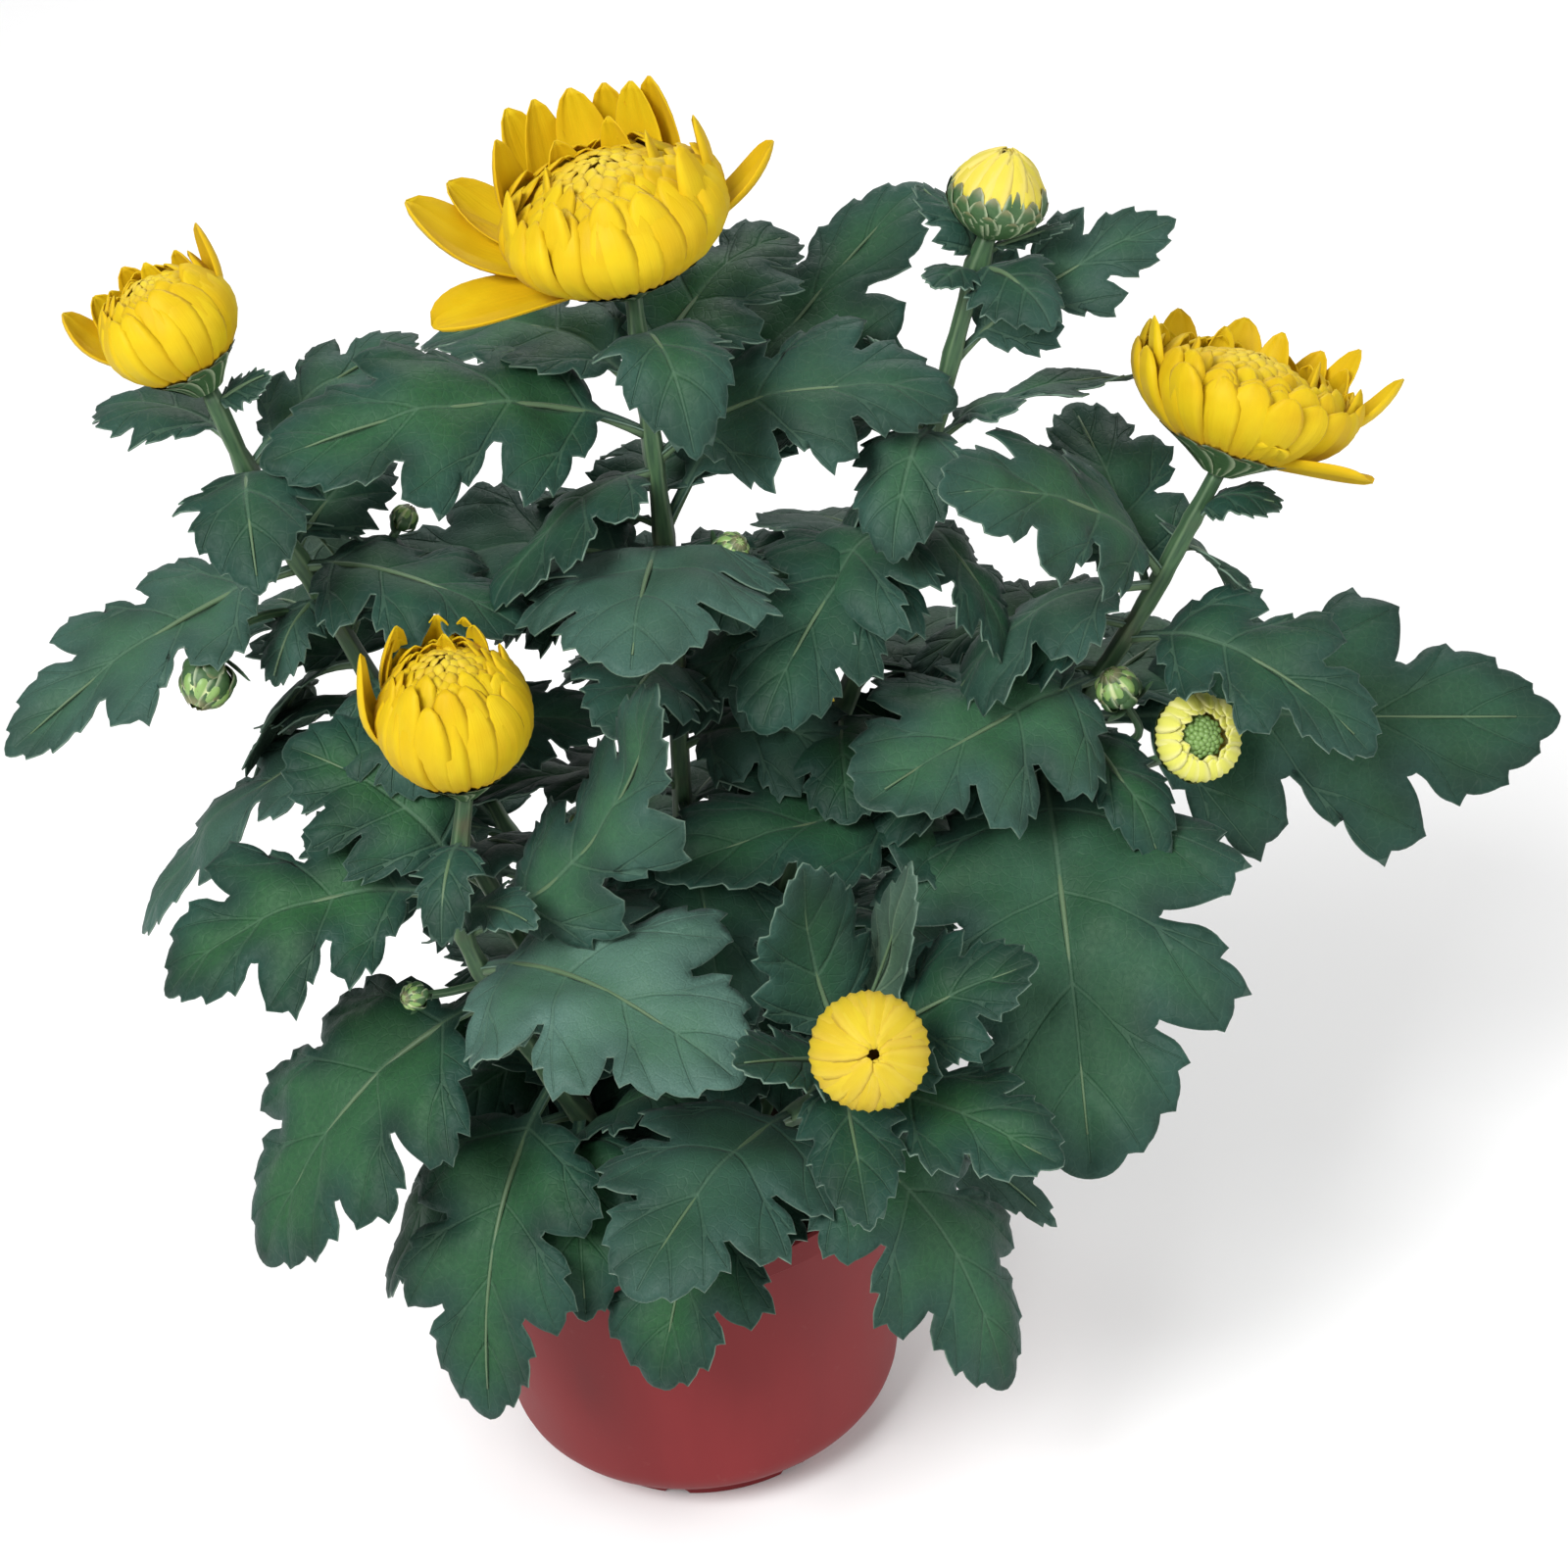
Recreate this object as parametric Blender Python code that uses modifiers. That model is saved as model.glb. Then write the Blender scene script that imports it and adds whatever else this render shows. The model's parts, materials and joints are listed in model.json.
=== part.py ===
"""Pot chrysanthemum in its round plastic pot, flowering and with buds.

World space in metres, +Z up.  The origin is the centre of the pot's flat underside, -Y is the
side that the plant shows first and +X is its right.  Lengths below are in millimetres and
angles in degrees, unless a name says otherwise.
"""
import math
import random

import bmesh
import bpy
from mathutils import Matrix, Quaternion, Vector, noise
from mathutils.geometry import delaunay_2d_cdt

MM = 0.001
GAP = 0.3                # clearance between neighbouring pieces

# Pot
POT_HEIGHT = 112.0
RIM_RADIUS = 71.0
RIM_BAND = 9.0           # height of the thicker band round the mouth
RIM_PROUD = 1.6          # how far that band stands out of the wall
WALL = 2.0
# Outside of the lower edge, where the wall turns in to the foot, and inside from the floor up
TURN_IN = ((61.6, 21.0), (60.8, 16.5), (57.5, 12.5), (49.5, 9.2), (47.6, 7.0), (47.0, 0.0))
INSIDE = ((41.0, 4.5), (41.0, 11.5), (55.0, 15.2), (59.3, 21.5))
FLOOR = INSIDE[0][1]
FOOT_RADIUS = TURN_IN[-1][0]
POT_STEPS = 24
NOTCHES = 8              # low arches between the lobes of the foot
NOTCH_START = 30.0
NOTCH_RADIUS = 4.5
NOTCH_DEPTH = 1.5        # centre of an arch below the ground
NOTCH_REACH = 3.5        # how far it cuts in from the outside of the foot
DRAIN_HOLES = 6
DRAIN_RADIUS = 3.5
DRAIN_CIRCLE = 28.0

# Potting mix
MIX_LEVEL = 100.0
MIX_BUMPS = 1.6
HOLE_SIDES = 8

# Stems and leaves
STEM_BASE_RADIUS = 3.0
STEM_TOP_RADIUS = 2.2
SHOOT_RADIUS = 1.2
BLADE_THICKNESS = 0.9
MIDRIB_PLACES = (0.24, 0.50, 0.78)
CALYX_HEIGHT = 5.0
CALYX_SIDES = 6
BRACTS = 4
BRACT_LENGTH = 7.0

# Flower heads
BALL_CUT = 0.94          # where the flat base cuts a ball of radius 1, below its middle
BALL_MIDDLE = 0.60       # height of the widest place, as a share of the ball's height
BALL_TAPER = 0.7         # below 1 the lower half narrows to the calyx like a funnel
PETAL_STATIONS = ((0.0, 0.50), (0.34, 0.92), (0.74, 1.0), (0.94, 0.60))
BRACT_STATIONS = ((0.0, 1.0), (0.7, 0.6))
RIB_DEPTH = 0.055        # how far the petals of a ball rise and fall, as a share of its radius

# One edge of a leaf from its stalk to its tip: how far along the midrib, and how far out as a
# share of the half width.  The deep cuts between the lobes are the points that step back in.
LEAF_EDGES = {
    "broad": ((0.0, 0.05), (0.16, 0.06), (0.21, 0.58), (0.31, 0.92), (0.44, 0.98), (0.47, 0.58),
              (0.68, 0.92), (0.67, 0.47), (0.86, 0.48)),
    "long": ((0.0, 0.06), (0.18, 0.06), (0.25, 0.48), (0.36, 0.90), (0.46, 0.84), (0.46, 0.44),
             (0.69, 0.96), (0.70, 0.42), (0.88, 0.42)),
    "small": ((0.0, 0.09), (0.14, 0.09), (0.28, 0.66), (0.50, 1.0), (0.56, 0.62), (0.80, 0.70)),
}

# Each stem: its route from below the mix to its flower head.  The first two points of a route
# stand plumb in the mix.
STEMS = {
    "stem_centre": ((5, 4, 72), (5, 4, 112), (12, 3, 178), (18, 3, 258), (20, 3, 308),
                    (20, 5, 343), (20, 7, 379)),
    "stem_left": ((-13, 2, 72), (-13, 2, 112), (-28, 0, 158), (-50, -2, 228), (-71, -4, 298),
                  (-83, -5, 333), (-92, -5, 371)),
    "stem_right_back": ((20, 16, 72), (20, 16, 112), (36, 12, 168), (62, 9, 238), (84, 8, 296),
                        (97, 9, 333), (107, 10, 364), (114, 10, 383)),
    "stem_right": ((27, -4, 72), (27, -4, 112), (56, -2, 150), (100, 0, 196), (132, 0, 244),
                   (150, 0, 272), (162, 0, 294), (171, 1, 310)),
    "stem_left_front": ((-16, -22, 72), (-16, -22, 112), (-30, -36, 158), (-44, -47, 208),
                        (-46, -50, 233), (-39, -50, 268)),
    "stem_front": ((14, -26, 72), (14, -26, 112), (28, -48, 140), (42, -72, 168),
                   (51, -88, 192), (58, -100, 207)),
    "stem_back_left": ((-12, 28, 72), (-12, 28, 112), (-24, 52, 140), (-40, 80, 160),
                       (-48, 92, 174)),
    "stem_back_right": ((14, 36, 72), (14, 36, 112), (34, 58, 138), (54, 80, 152),
                        (60, 88, 158)),
}

# Each leaf: height of its stalk on the stem, place of its tip, width, arch as a share of its
# length, roll about its midrib and kind.
LEAVES = {
    "stem_centre": (
        (339, (-80, -22, 355), 62, 0.12, -26, "long"),
        (349, (-40, 48, 350), 46, 0.20, 0, "broad"),
        (365, (32, -38, 351), 36, 0.32, 0, "small"),
        (331, (102, -4, 342), 56, 0.15, 25, "long"),
        (354, (65, 56, 369), 46, 0.12, 8, "broad"),
        (310, (102, 72, 373), 56, 0.06, 10, "long"),
        (298, (-68, 12, 296), 62, 0.12, -8, "broad"),
        (305, (9, -64, 306), 72, 0.12, 0, "broad"),
        (223, (22, -70, 190), 50, 0.15, 0, "broad"),
        (270, (-42, 84, 270), 56, 0.12, 0, "broad"),
        (258, (70, 88, 254), 60, 0.12, 0, "broad"),
    ),
    "stem_left": (
        (316, (-158, -40, 288), 50, 0.07, -12, "long"),
        (356, (-126, 18, 358), 36, 0.12, 0, "small"),
        (345, (-82, -50, 333), 38, 0.22, 0, "small"),
        (346, (-39, 26, 364), 34, 0.10, 8, "long"),
        (320, (-52, 28, 330), 30, 0.10, 20, "small"),
        (260, (-140, -10, 206), 42, 0.14, 0, "long"),
        (284, (-97, 14, 228), 40, 0.20, 0, "broad"),
        (276, (-98, 62, 270), 50, 0.12, 0, "broad"),
        (230, (-100, 66, 208), 54, 0.14, 0, "broad"),
    ),
    "stem_right_back": (
        (348, (164, 16, 378), 36, 0.06, 38, "long"),
        (374, (97, 22, 394), 18, 0.10, 0, "small"),
        (373, (126, -14, 364), 28, 0.22, 0, "small"),
        (370, (97, -8, 377), 15, 0.10, 0, "small"),
        (324, (152, 22, 331), 34, 0.10, -16, "long"),
        (330, (80, -26, 308), 32, 0.18, 0, "small"),
        (304, (110, -14, 266), 38, 0.16, -20, "broad"),
        (298, (40, -50, 275), 52, 0.14, -20, "broad"),
        (248, (118, 80, 220), 52, 0.12, 0, "broad"),
    ),
    "stem_right": (
        (281, (93, -31, 330), 54, 0.12, -32, "long"),
        (274, (138, 56, 308), 44, 0.08, 0, "broad"),
        (289, (177, 22, 260), 38, 0.10, 25, "broad"),
        (297, (187, -8, 303), 20, 0.16, 0, "small"),
        (262, (204, -46, 244), 46, 0.16, 20, "long"),
        (238, (268, 4, 217), 84, 0.00, 38, "long"),
        (251, (65, -52, 251), 64, 0.03, -24, "broad"),
        (236, (146, -44, 214), 26, 0.15, 0, "small"),
        (224, (116, -97, 151), 104, 0.14, 0, "broad"),
        (200, (8, -58, 239), 56, 0.10, -20, "broad"),
        (236, (186, 62, 222), 56, 0.12, 0, "broad"),
        (186, (150, 72, 168), 58, 0.14, 0, "broad"),
    ),
    "stem_left_front": (
        (222, (16, -58, 299), 48, -0.12, 40, "long"),
        (252, (-49, -78, 238), 20, 0.25, 0, "small"),
        (234, (-128, -60, 220), 60, 0.16, -25, "long"),
        (208, (25, -110, 206), 76, 0.14, 12, "broad"),
        (196, (-115, -72, 133), 76, 0.14, -12, "broad"),
        (174, (-114, -34, 158), 48, 0.14, 0, "broad"),
        (142, (-87, -48, 94), 34, 0.18, 0, "small"),
        (158, (-58, -93, 84), 60, 0.20, 0, "broad"),
        (140, (-27, -88, 112), 46, 0.16, 0, "small"),
        (242, (-88, -24, 272), 50, 0.14, -30, "broad"),
    ),
    "stem_front": (
        (200, (48, -88, 258), 38, -0.14, 0, "small"),
        (198, (24, -114, 217), 28, 0.02, -20, "small"),
        (194, (106, -92, 222), 42, 0.06, 25, "broad"),
        (186, (76, -74, 246), 26, 0.05, 0, "small"),
        (184, (106, -126, 181), 46, 0.06, 10, "broad"),
        (192, (54, -142, 180), 28, 0.10, 0, "small"),
        (160, (-10, -127, 153), 64, 0.12, -10, "broad"),
        (164, (87, -116, 96), 60, 0.20, 0, "broad"),
        (136, (-8, -96, 92), 66, 0.20, 0, "broad"),
        (138, (109, -60, 103), 22, 0.20, 40, "small"),
    ),
    "stem_back_left": (
        (154, (-110, 82, 148), 60, 0.14, 0, "broad"),
        (162, (-86, 142, 158), 54, 0.12, 0, "broad"),
        (146, (10, 124, 148), 56, 0.14, 0, "broad"),
        (132, (-42, 126, 98), 62, 0.18, 0, "broad"),
        (164, (-106, 62, 180), 34, 0.10, 0, "small"),
    ),
    "stem_back_right": (
        (142, (122, 98, 126), 62, 0.16, 0, "broad"),
        (138, (84, 146, 98), 58, 0.16, 0, "broad"),
        (140, (128, 92, 158), 46, 0.12, 0, "broad"),
        (130, (52, 122, 92), 50, 0.20, 0, "broad"),
        (134, (8, 132, 134), 40, 0.10, 0, "small"),
    ),
}

# Side shoots with a green bud at their end: height on the stem, points of the route, radius of
# the bud.
SHOOTS = {
    "stem_centre": ((296, ((30, -4, 300), (36, -9, 307)), 5.0),),
    "stem_left": (
        (300, ((-86, -8, 304), (-96, -20, 307), (-101, -28, 302)), 7.5),
        (292, ((-60, 4, 306), (-51, 9, 317)), 4.0),
    ),
    "stem_right": ((230, ((134, -6, 230), (145, -10, 236), (141, -12, 249)), 6.5),),
    "stem_left_front": (
        (168, ((-22, -36, 198), (-12, -34, 230), (-11, -33, 238)), 4.5),
        (178, ((-24, -36, 213), (-8, -32, 242), (-4, -31, 249)), 6.5),
        (202, ((-52, -55, 207), (-59, -61, 211)), 4.0),
    ),
}

# Flower stalks that leave a stem below its top: stem, height, points of the route.
FLOWER_STALKS = {
    "bud_opening_right": ("stem_right", 222, ((136, -5, 222), (150, -13, 229), (157, -18, 237))),
}

# Each flower head: the stem that carries it, its axis, radius of the ball, its height, radius of
# the calyx, number of petals that show as ribs round the ball, and rows of petals that stand out
# of its top.  A row is: number of petals, first azimuth, radius and height of the root, radius
# and height of the tips (shares of the ball's radius and height), and width.
FLOWERS = {
    "bloom_top": ("stem_centre", (-0.12, -0.05, 1), 33, 32, 9, 13, (
        (10, 13, 0.90, 0.72, 0.84, 1.26, 15), (6, 5, 0.52, 0.90, 0.44, 1.18, 13))),
    "bloom_left": ("stem_left", (-0.36, 0.06, 1), 20, 27, 7, 9, (
        (8, 20, 0.86, 0.72, 0.72, 1.08, 12), (4, 0, 0.42, 0.90, 0.30, 1.10, 10))),
    "bloom_right": ("stem_right", (0.44, 0.26, 1), 30, 28, 8, 12, (
        (10, 20, 0.94, 0.68, 1.06, 1.12, 15), (6, 0, 0.56, 0.88, 0.60, 1.16, 12))),
    "bloom_lower_left": ("stem_left_front", (0.02, -0.08, 1), 22.8, 37, 7, 11, (
        (8, 17, 0.84, 0.74, 0.68, 1.05, 13), (5, 0, 0.44, 0.90, 0.30, 1.08, 10))),
    "bud_front": ("stem_front", (0.06, -0.84, 0.55), 19.3, 27, 7, 11, (
        (6, 0, 0.52, 0.86, 0.30, 1.04, 8),)),
    "bud_right_back": ("stem_right_back", (0.30, 0.02, 1), 13.6, 18.5, 6, 9, (
        (6, 0, 0.56, 0.84, 0.36, 1.08, 6),)),
    "bud_opening_right": ("stem_right", (0.22, -0.78, 0.58), 14, 14, 6, 10, (
        (10, 0, 0.84, 0.70, 0.68, 1.24, 6),)),
    "bloom_back_right": ("stem_back_right", (0.10, 1.00, 0.80), 20, 32, 7, 8, (
        (7, 18, 0.86, 0.70, 0.72, 1.12, 12), (4, 0, 0.42, 0.90, 0.30, 1.12, 9))),
    "bud_back_left": ("stem_back_left", (-0.35, 0.40, 1), 12, 22, 6, 8, (
        (4, 0, 0.56, 0.84, 0.32, 1.06, 7),)),
}

# Petals that stand away from a ball: azimuth about the axis, bulge radius and height, tip radius
# and height (all in millimetres) and width.
LOOSE_PETALS = {
    "bloom_top": (
        (176, 40, 8, 51, 33, 21), (156, 34, 9, 45, 29, 17), (203, 38, 4, 54, 9, 21),
        (10, 37, 9, 45, 25, 17), (128, 32, 12, 36, 41, 15), (100, 28, 16, 28, 43, 15),
        (66, 28, 14, 28, 42, 15),
    ),
    "bloom_left": (
        (172, 24, 11, 24, 29, 13), (144, 22, 12, 21, 27, 12), (32, 21, 12, 20, 33, 13),
    ),
    "bloom_right": (
        (2, 36, 12, 40, 34, 17), (32, 32, 12, 36, 36, 14), (-35, 34, 3, 42, 9, 18),
        (190, 30, 12, 32, 32, 14), (90, 28, 14, 30, 34, 14), (-76, 25, 4, 28, 11, 13),
    ),
    "bloom_lower_left": (
        (148, 24, 18, 14, 45, 12), (182, 27, 14, 21, 43, 12), (52, 17, 28, 13, 41, 9),
    ),
    "bloom_back_right": ((110, 28, 6, 38, 22, 14), (50, 26, 8, 34, 30, 13)),
}

COLOURS = {
    "pot": ((0.235, 0.040, 0.046), 0.48),
    "mix": ((0.030, 0.020, 0.014), 0.95),
    "leaf": ((0.030, 0.085, 0.050), 0.60),
    "petal": ((0.860, 0.600, 0.010), 0.55),
}


def clear_scene():
    """Remove whatever the open file holds."""
    for obj in list(bpy.data.objects):
        bpy.data.objects.remove(obj, do_unlink=True)


def new_collection(name, parent=None):
    """A collection linked below the scene or below a parent."""
    made = bpy.data.collections.new(name)
    (parent or bpy.context.scene.collection).children.link(made)
    return made


def principled(name):
    """One opaque material in the named colour."""
    colour, roughness = COLOURS[name]
    made = bpy.data.materials.new(name)
    made.use_nodes = True
    shader = made.node_tree.nodes["Principled BSDF"]
    shader.inputs["Base Color"].default_value = (*colour, 1.0)
    shader.inputs["Roughness"].default_value = roughness
    shader.inputs["Metallic"].default_value = 0.0
    made.diffuse_color = (*colour, 1.0)
    return made


def add_object(name, mesh, collection):
    """Put a mesh in a collection as an object."""
    obj = bpy.data.objects.new(name, mesh)
    collection.objects.link(obj)
    return obj


def mesh_from(name, bm):
    """Turn a bmesh with its faces pointing out into a mesh."""
    bmesh.ops.recalc_face_normals(bm, faces=bm.faces)
    mesh = bpy.data.meshes.new(name)
    bm.to_mesh(mesh)
    bm.free()
    return mesh


def as_mesh(obj, collection):
    """Replace a curve, or an object with modifiers, by one welded mesh object."""
    bpy.context.view_layer.update()
    evaluated = obj.evaluated_get(bpy.context.evaluated_depsgraph_get())
    mesh = bpy.data.meshes.new_from_object(evaluated)
    bm = bmesh.new()
    bm.from_mesh(mesh)
    bmesh.ops.remove_doubles(bm, verts=bm.verts, dist=0.00001)
    bm.to_mesh(mesh)
    bm.free()
    name = obj.name
    bpy.data.objects.remove(obj, do_unlink=True)
    return add_object(name, mesh, collection)


def apply_boolean(obj, others, operation):
    """Join a collection to an object or cut it away, then drop the collection's objects."""
    modifier = obj.modifiers.new("boolean", "BOOLEAN")
    modifier.operand_type = "COLLECTION"
    modifier.collection = others
    modifier.operation = operation
    modifier.solver = "EXACT"
    bpy.context.view_layer.update()
    evaluated = obj.evaluated_get(bpy.context.evaluated_depsgraph_get())
    mesh = bpy.data.meshes.new_from_object(evaluated)
    obj.modifiers.clear()
    obj.data = mesh
    for other in list(others.objects):
        bpy.data.objects.remove(other, do_unlink=True)


def turned(name, profile, steps, collection):
    """A solid turned about the Z axis from a profile that starts and ends on it."""
    mesh = bpy.data.meshes.new(name)
    points = [(radius * MM, 0.0, height * MM) for radius, height in profile]
    edges = [(index, index + 1) for index in range(len(points) - 1)]
    mesh.from_pydata(points, edges, [])
    obj = add_object(name, mesh, collection)
    screw = obj.modifiers.new("screw", "SCREW")
    screw.steps = steps
    screw.render_steps = steps
    screw.use_merge_vertices = True
    screw.merge_threshold = 0.0001
    return as_mesh(obj, collection)


def cylinder(name, radius, length, sides, place, collection, turn=None):
    """A cylinder centred on a place, along Z unless it is turned."""
    bm = bmesh.new()
    bmesh.ops.create_cone(bm, cap_ends=True, segments=sides, radius1=radius * MM,
                          radius2=radius * MM, depth=length * MM)
    obj = add_object(name, mesh_from(name, bm), collection)
    obj.matrix_world = Matrix.Translation(Vector(place) * MM) @ (turn or Matrix())
    return obj


def inner_wall(clearance):
    """Inside of the pot's lower end, from the floor up, drawn in by a clearance."""
    return tuple((radius - clearance, height + clearance) for radius, height in INSIDE)


def mouth_radius(height, clearance):
    """Inner radius of the tapering wall at a height."""
    radius, start = INSIDE[-1]
    share = (height - start) / (POT_HEIGHT - start)
    return radius + share * (RIM_RADIUS - WALL - radius) - clearance


def make_pot(parts, cutters, material):
    """The pot: a tapering wall with a rim band, turned in below to a notched foot."""
    profile = [(0.0, FLOOR), *inner_wall(0.0), (mouth_radius(POT_HEIGHT, 0.0), POT_HEIGHT),
               (RIM_RADIUS + RIM_PROUD, POT_HEIGHT), (RIM_RADIUS + RIM_PROUD, POT_HEIGHT - RIM_BAND),
               (RIM_RADIUS - 1.0, POT_HEIGHT - RIM_BAND - 1.0), *TURN_IN, (0.0, 0.0)]
    pot = turned("pot", profile, POT_STEPS, parts)
    for index in range(NOTCHES):
        turn = Matrix.Rotation(math.tau * index / NOTCHES + math.radians(NOTCH_START), 4, "Z")
        lay = turn @ Matrix.Rotation(math.pi / 2, 4, "Y")
        place = turn @ Vector((FOOT_RADIUS, 0.0, -NOTCH_DEPTH))
        cylinder("notch_cutter", NOTCH_RADIUS, NOTCH_REACH * 2, 8, place, cutters, lay)
    for index in range(DRAIN_HOLES):
        turn = Matrix.Rotation(math.tau * index / DRAIN_HOLES, 4, "Z")
        place = turn @ Vector((DRAIN_CIRCLE, 0.0, FLOOR / 2))
        cylinder("drain_cutter", DRAIN_RADIUS, FLOOR * 2, 6, place, cutters)
    apply_boolean(pot, cutters, "DIFFERENCE")
    pot.data.materials.append(material)
    return pot


def make_mix(parts, cutters, material):
    """The potting mix that fills the pot, with a plain hole for each stem."""
    top_radius = mouth_radius(MIX_LEVEL, GAP)
    top = [(top_radius * share, MIX_LEVEL) for share in (1.0, 0.65, 0.30)]
    profile = [(0.0, MIX_LEVEL), *reversed(top), *reversed(inner_wall(GAP)), (0.0, FLOOR + GAP)]
    mix = turned("potting_mix", profile, POT_STEPS, parts)
    for vertex in mix.data.vertices:
        x, y, z = vertex.co / MM
        if z > MIX_LEVEL - 1.0 and math.hypot(x, y) < top_radius - 1.0:
            vertex.co.z += noise.noise(Vector((x, y, 3.0)) * 0.07) * 2 * MIX_BUMPS * MM
    for route in STEMS.values():
        x, y, foot = route[0]
        length = 2 * (MIX_LEVEL - foot)
        place = (x, y, foot - GAP + length / 2)
        cylinder("hole_cutter", STEM_BASE_RADIUS + 2 * GAP, length, HOLE_SIDES, place, cutters)
    apply_boolean(mix, cutters, "DIFFERENCE")
    mix.data.materials.append(material)
    return mix


def tube(name, points, start_radius, end_radius, sides_resolution, collection):
    """A round tapering stem along a route, with closed ends."""
    curve = bpy.data.curves.new(name, "CURVE")
    curve.dimensions = "3D"
    curve.bevel_depth = start_radius * MM
    curve.bevel_resolution = sides_resolution
    curve.use_fill_caps = True
    spline = curve.splines.new("POLY")
    spline.points.add(len(points) - 1)
    for index, point in enumerate(points):
        share = index / (len(points) - 1)
        spline.points[index].co = (*(Vector(point) * MM), 1.0)
        spline.points[index].radius = 1 + share * (end_radius / start_radius - 1)
    return as_mesh(add_object(name, curve, collection), collection)


def stem_point(route, height):
    """Where a stem's centre line is at a height."""
    for low, high in zip(route, route[1:]):
        if low.z <= height <= high.z:
            return low.lerp(high, (height - low.z) / (high.z - low.z))
    return route[-1].copy()


def leaf_outline(kind, length, width, rng):
    """The flat outline of a blade, along X from the stalk, up one edge and down the other."""
    edges = []
    for side in (-1, 1):
        edge = []
        for index, (along, out) in enumerate(LEAF_EDGES[kind]):
            if index > 1:
                along += rng.uniform(-0.015, 0.015)
                out *= rng.uniform(0.90, 1.06)
            edge.append((along * length, side * out * width / 2))
        edges.append(edge)
    return edges[0] + [(length, 0.0)] + edges[1][::-1]


def within(point, outline):
    """Whether a flat point lies inside an outline."""
    inside = False
    for (x0, y0), (x1, y1) in zip(outline, outline[1:] + outline[:1]):
        if (y0 > point.y) != (y1 > point.y):
            inside ^= point.x < x0 + (point.y - y0) / (y1 - y0) * (x1 - x0)
    return inside


def leaf_frame(base, tip, arch, roll):
    """A function from a share of the length to a point, tangent, side and normal."""
    chord = tip - base
    outward = Vector((base.x + tip.x, base.y + tip.y, 0.0))
    outward = outward.normalized() if outward.length > 1.0 else Vector((0, -1, 0))
    level = Vector((chord.x, chord.y, 0.0))
    if level.length > 0.3 * chord.length:
        outward = level.normalized()
    axis = chord.normalized()
    up = Vector((0, 0, 1)) + 0.7 * outward
    up = (up - axis * up.dot(axis)).normalized()
    bend = base.lerp(tip, 0.42) + up * (2 * arch * chord.length)

    def frame(share):
        point = base * (1 - share) ** 2 + bend * (2 * share * (1 - share)) + tip * share ** 2
        tangent = ((bend - base) * (1 - share) + (tip - bend) * share).normalized()
        turn = math.radians(roll) * min(1.0, max(0.0, share / 0.25))
        side = tangent.cross(up).normalized()
        side.rotate(Quaternion(tangent, turn))
        return point, tangent, side, side.cross(tangent)

    return frame


def bend_blade(frame, along, across, length, width, shape):
    """The place in space of a point of the flat blade."""
    fold, curl, wave, phase = shape
    share = along / length
    point, _, side, normal = frame(min(1.0, share))
    out = abs(across) / (width / 2)
    lift = fold * abs(across) - curl * width * 0.5 * out ** 2
    lift += wave * out ** 2 * math.sin(share * 14.0 + phase + (1.6 if across > 0 else 0.0))
    return point + side * across + normal * lift


def make_leaf(name, base, leaf, collection, rng):
    """One lobed leaf with its stalk, as a closed blade of even thickness."""
    _, tip, width, arch, roll, kind = leaf
    tip = Vector(tip)
    frame = leaf_frame(base, tip, arch, roll)
    length = (tip - base).length
    outline = leaf_outline(kind, length, width, rng)
    shape = (rng.uniform(0.05, 0.20), rng.uniform(0.10, 0.30), rng.uniform(0.6, 1.6) * width / 50,
             rng.uniform(0.0, math.tau))
    inner = [(share * length, 0.0) for share in MIDRIB_PLACES]
    flat = [Vector(point) for point in outline + inner]
    ring = [(index, (index + 1) % len(outline)) for index in range(len(outline))]
    verts, _, faces, _, _, _ = delaunay_2d_cdt(flat, ring, [], 0, 0.0001, False)
    faces = [face for face in faces
             if within(sum((verts[index] for index in face), Vector((0, 0))) / 3, outline)]
    mesh = bpy.data.meshes.new(name)
    placed = [bend_blade(frame, v.x, v.y, length, width, shape) * MM for v in verts]
    mesh.from_pydata(placed, [], faces)
    obj = add_object(name, mesh, collection)
    solidify = obj.modifiers.new("solidify", "SOLIDIFY")
    solidify.thickness = BLADE_THICKNESS * MM
    solidify.offset = 0.0
    return as_mesh(obj, collection)


def axis_turn(axis):
    """Rotation from +Z to an axis that keeps +X as near to the world's as it goes."""
    up = Vector(axis).normalized()
    right = (Vector((1, 0, 0)) - up * up.x).normalized()
    turn = Matrix((right, up.cross(right), up)).transposed()
    return turn


def make_ball(name, place, axis, radius, height, ribs, rings, depth, collection):
    """A ball on a flat base, raised in ribs that run from its base to its top."""
    bm = bmesh.new()
    bmesh.ops.create_uvsphere(bm, u_segments=2 * ribs, v_segments=rings, radius=1.0)
    turn = axis_turn(axis)
    for vertex in bm.verts:
        azimuth = math.atan2(vertex.co.y, vertex.co.x)
        swell = radius * (1.0 + depth * math.cos(azimuth * ribs))
        rise = BALL_MIDDLE + (1 - BALL_MIDDLE) * vertex.co.z
        if vertex.co.z < 0:
            rise = BALL_MIDDLE * max(0.0, 1 + vertex.co.z / BALL_CUT) ** BALL_TAPER
        local = Vector((vertex.co.x * swell, vertex.co.y * swell, rise * height))
        vertex.co = (place + turn @ local) * MM
    return add_object(name, mesh_from(name, bm), collection)


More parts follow.
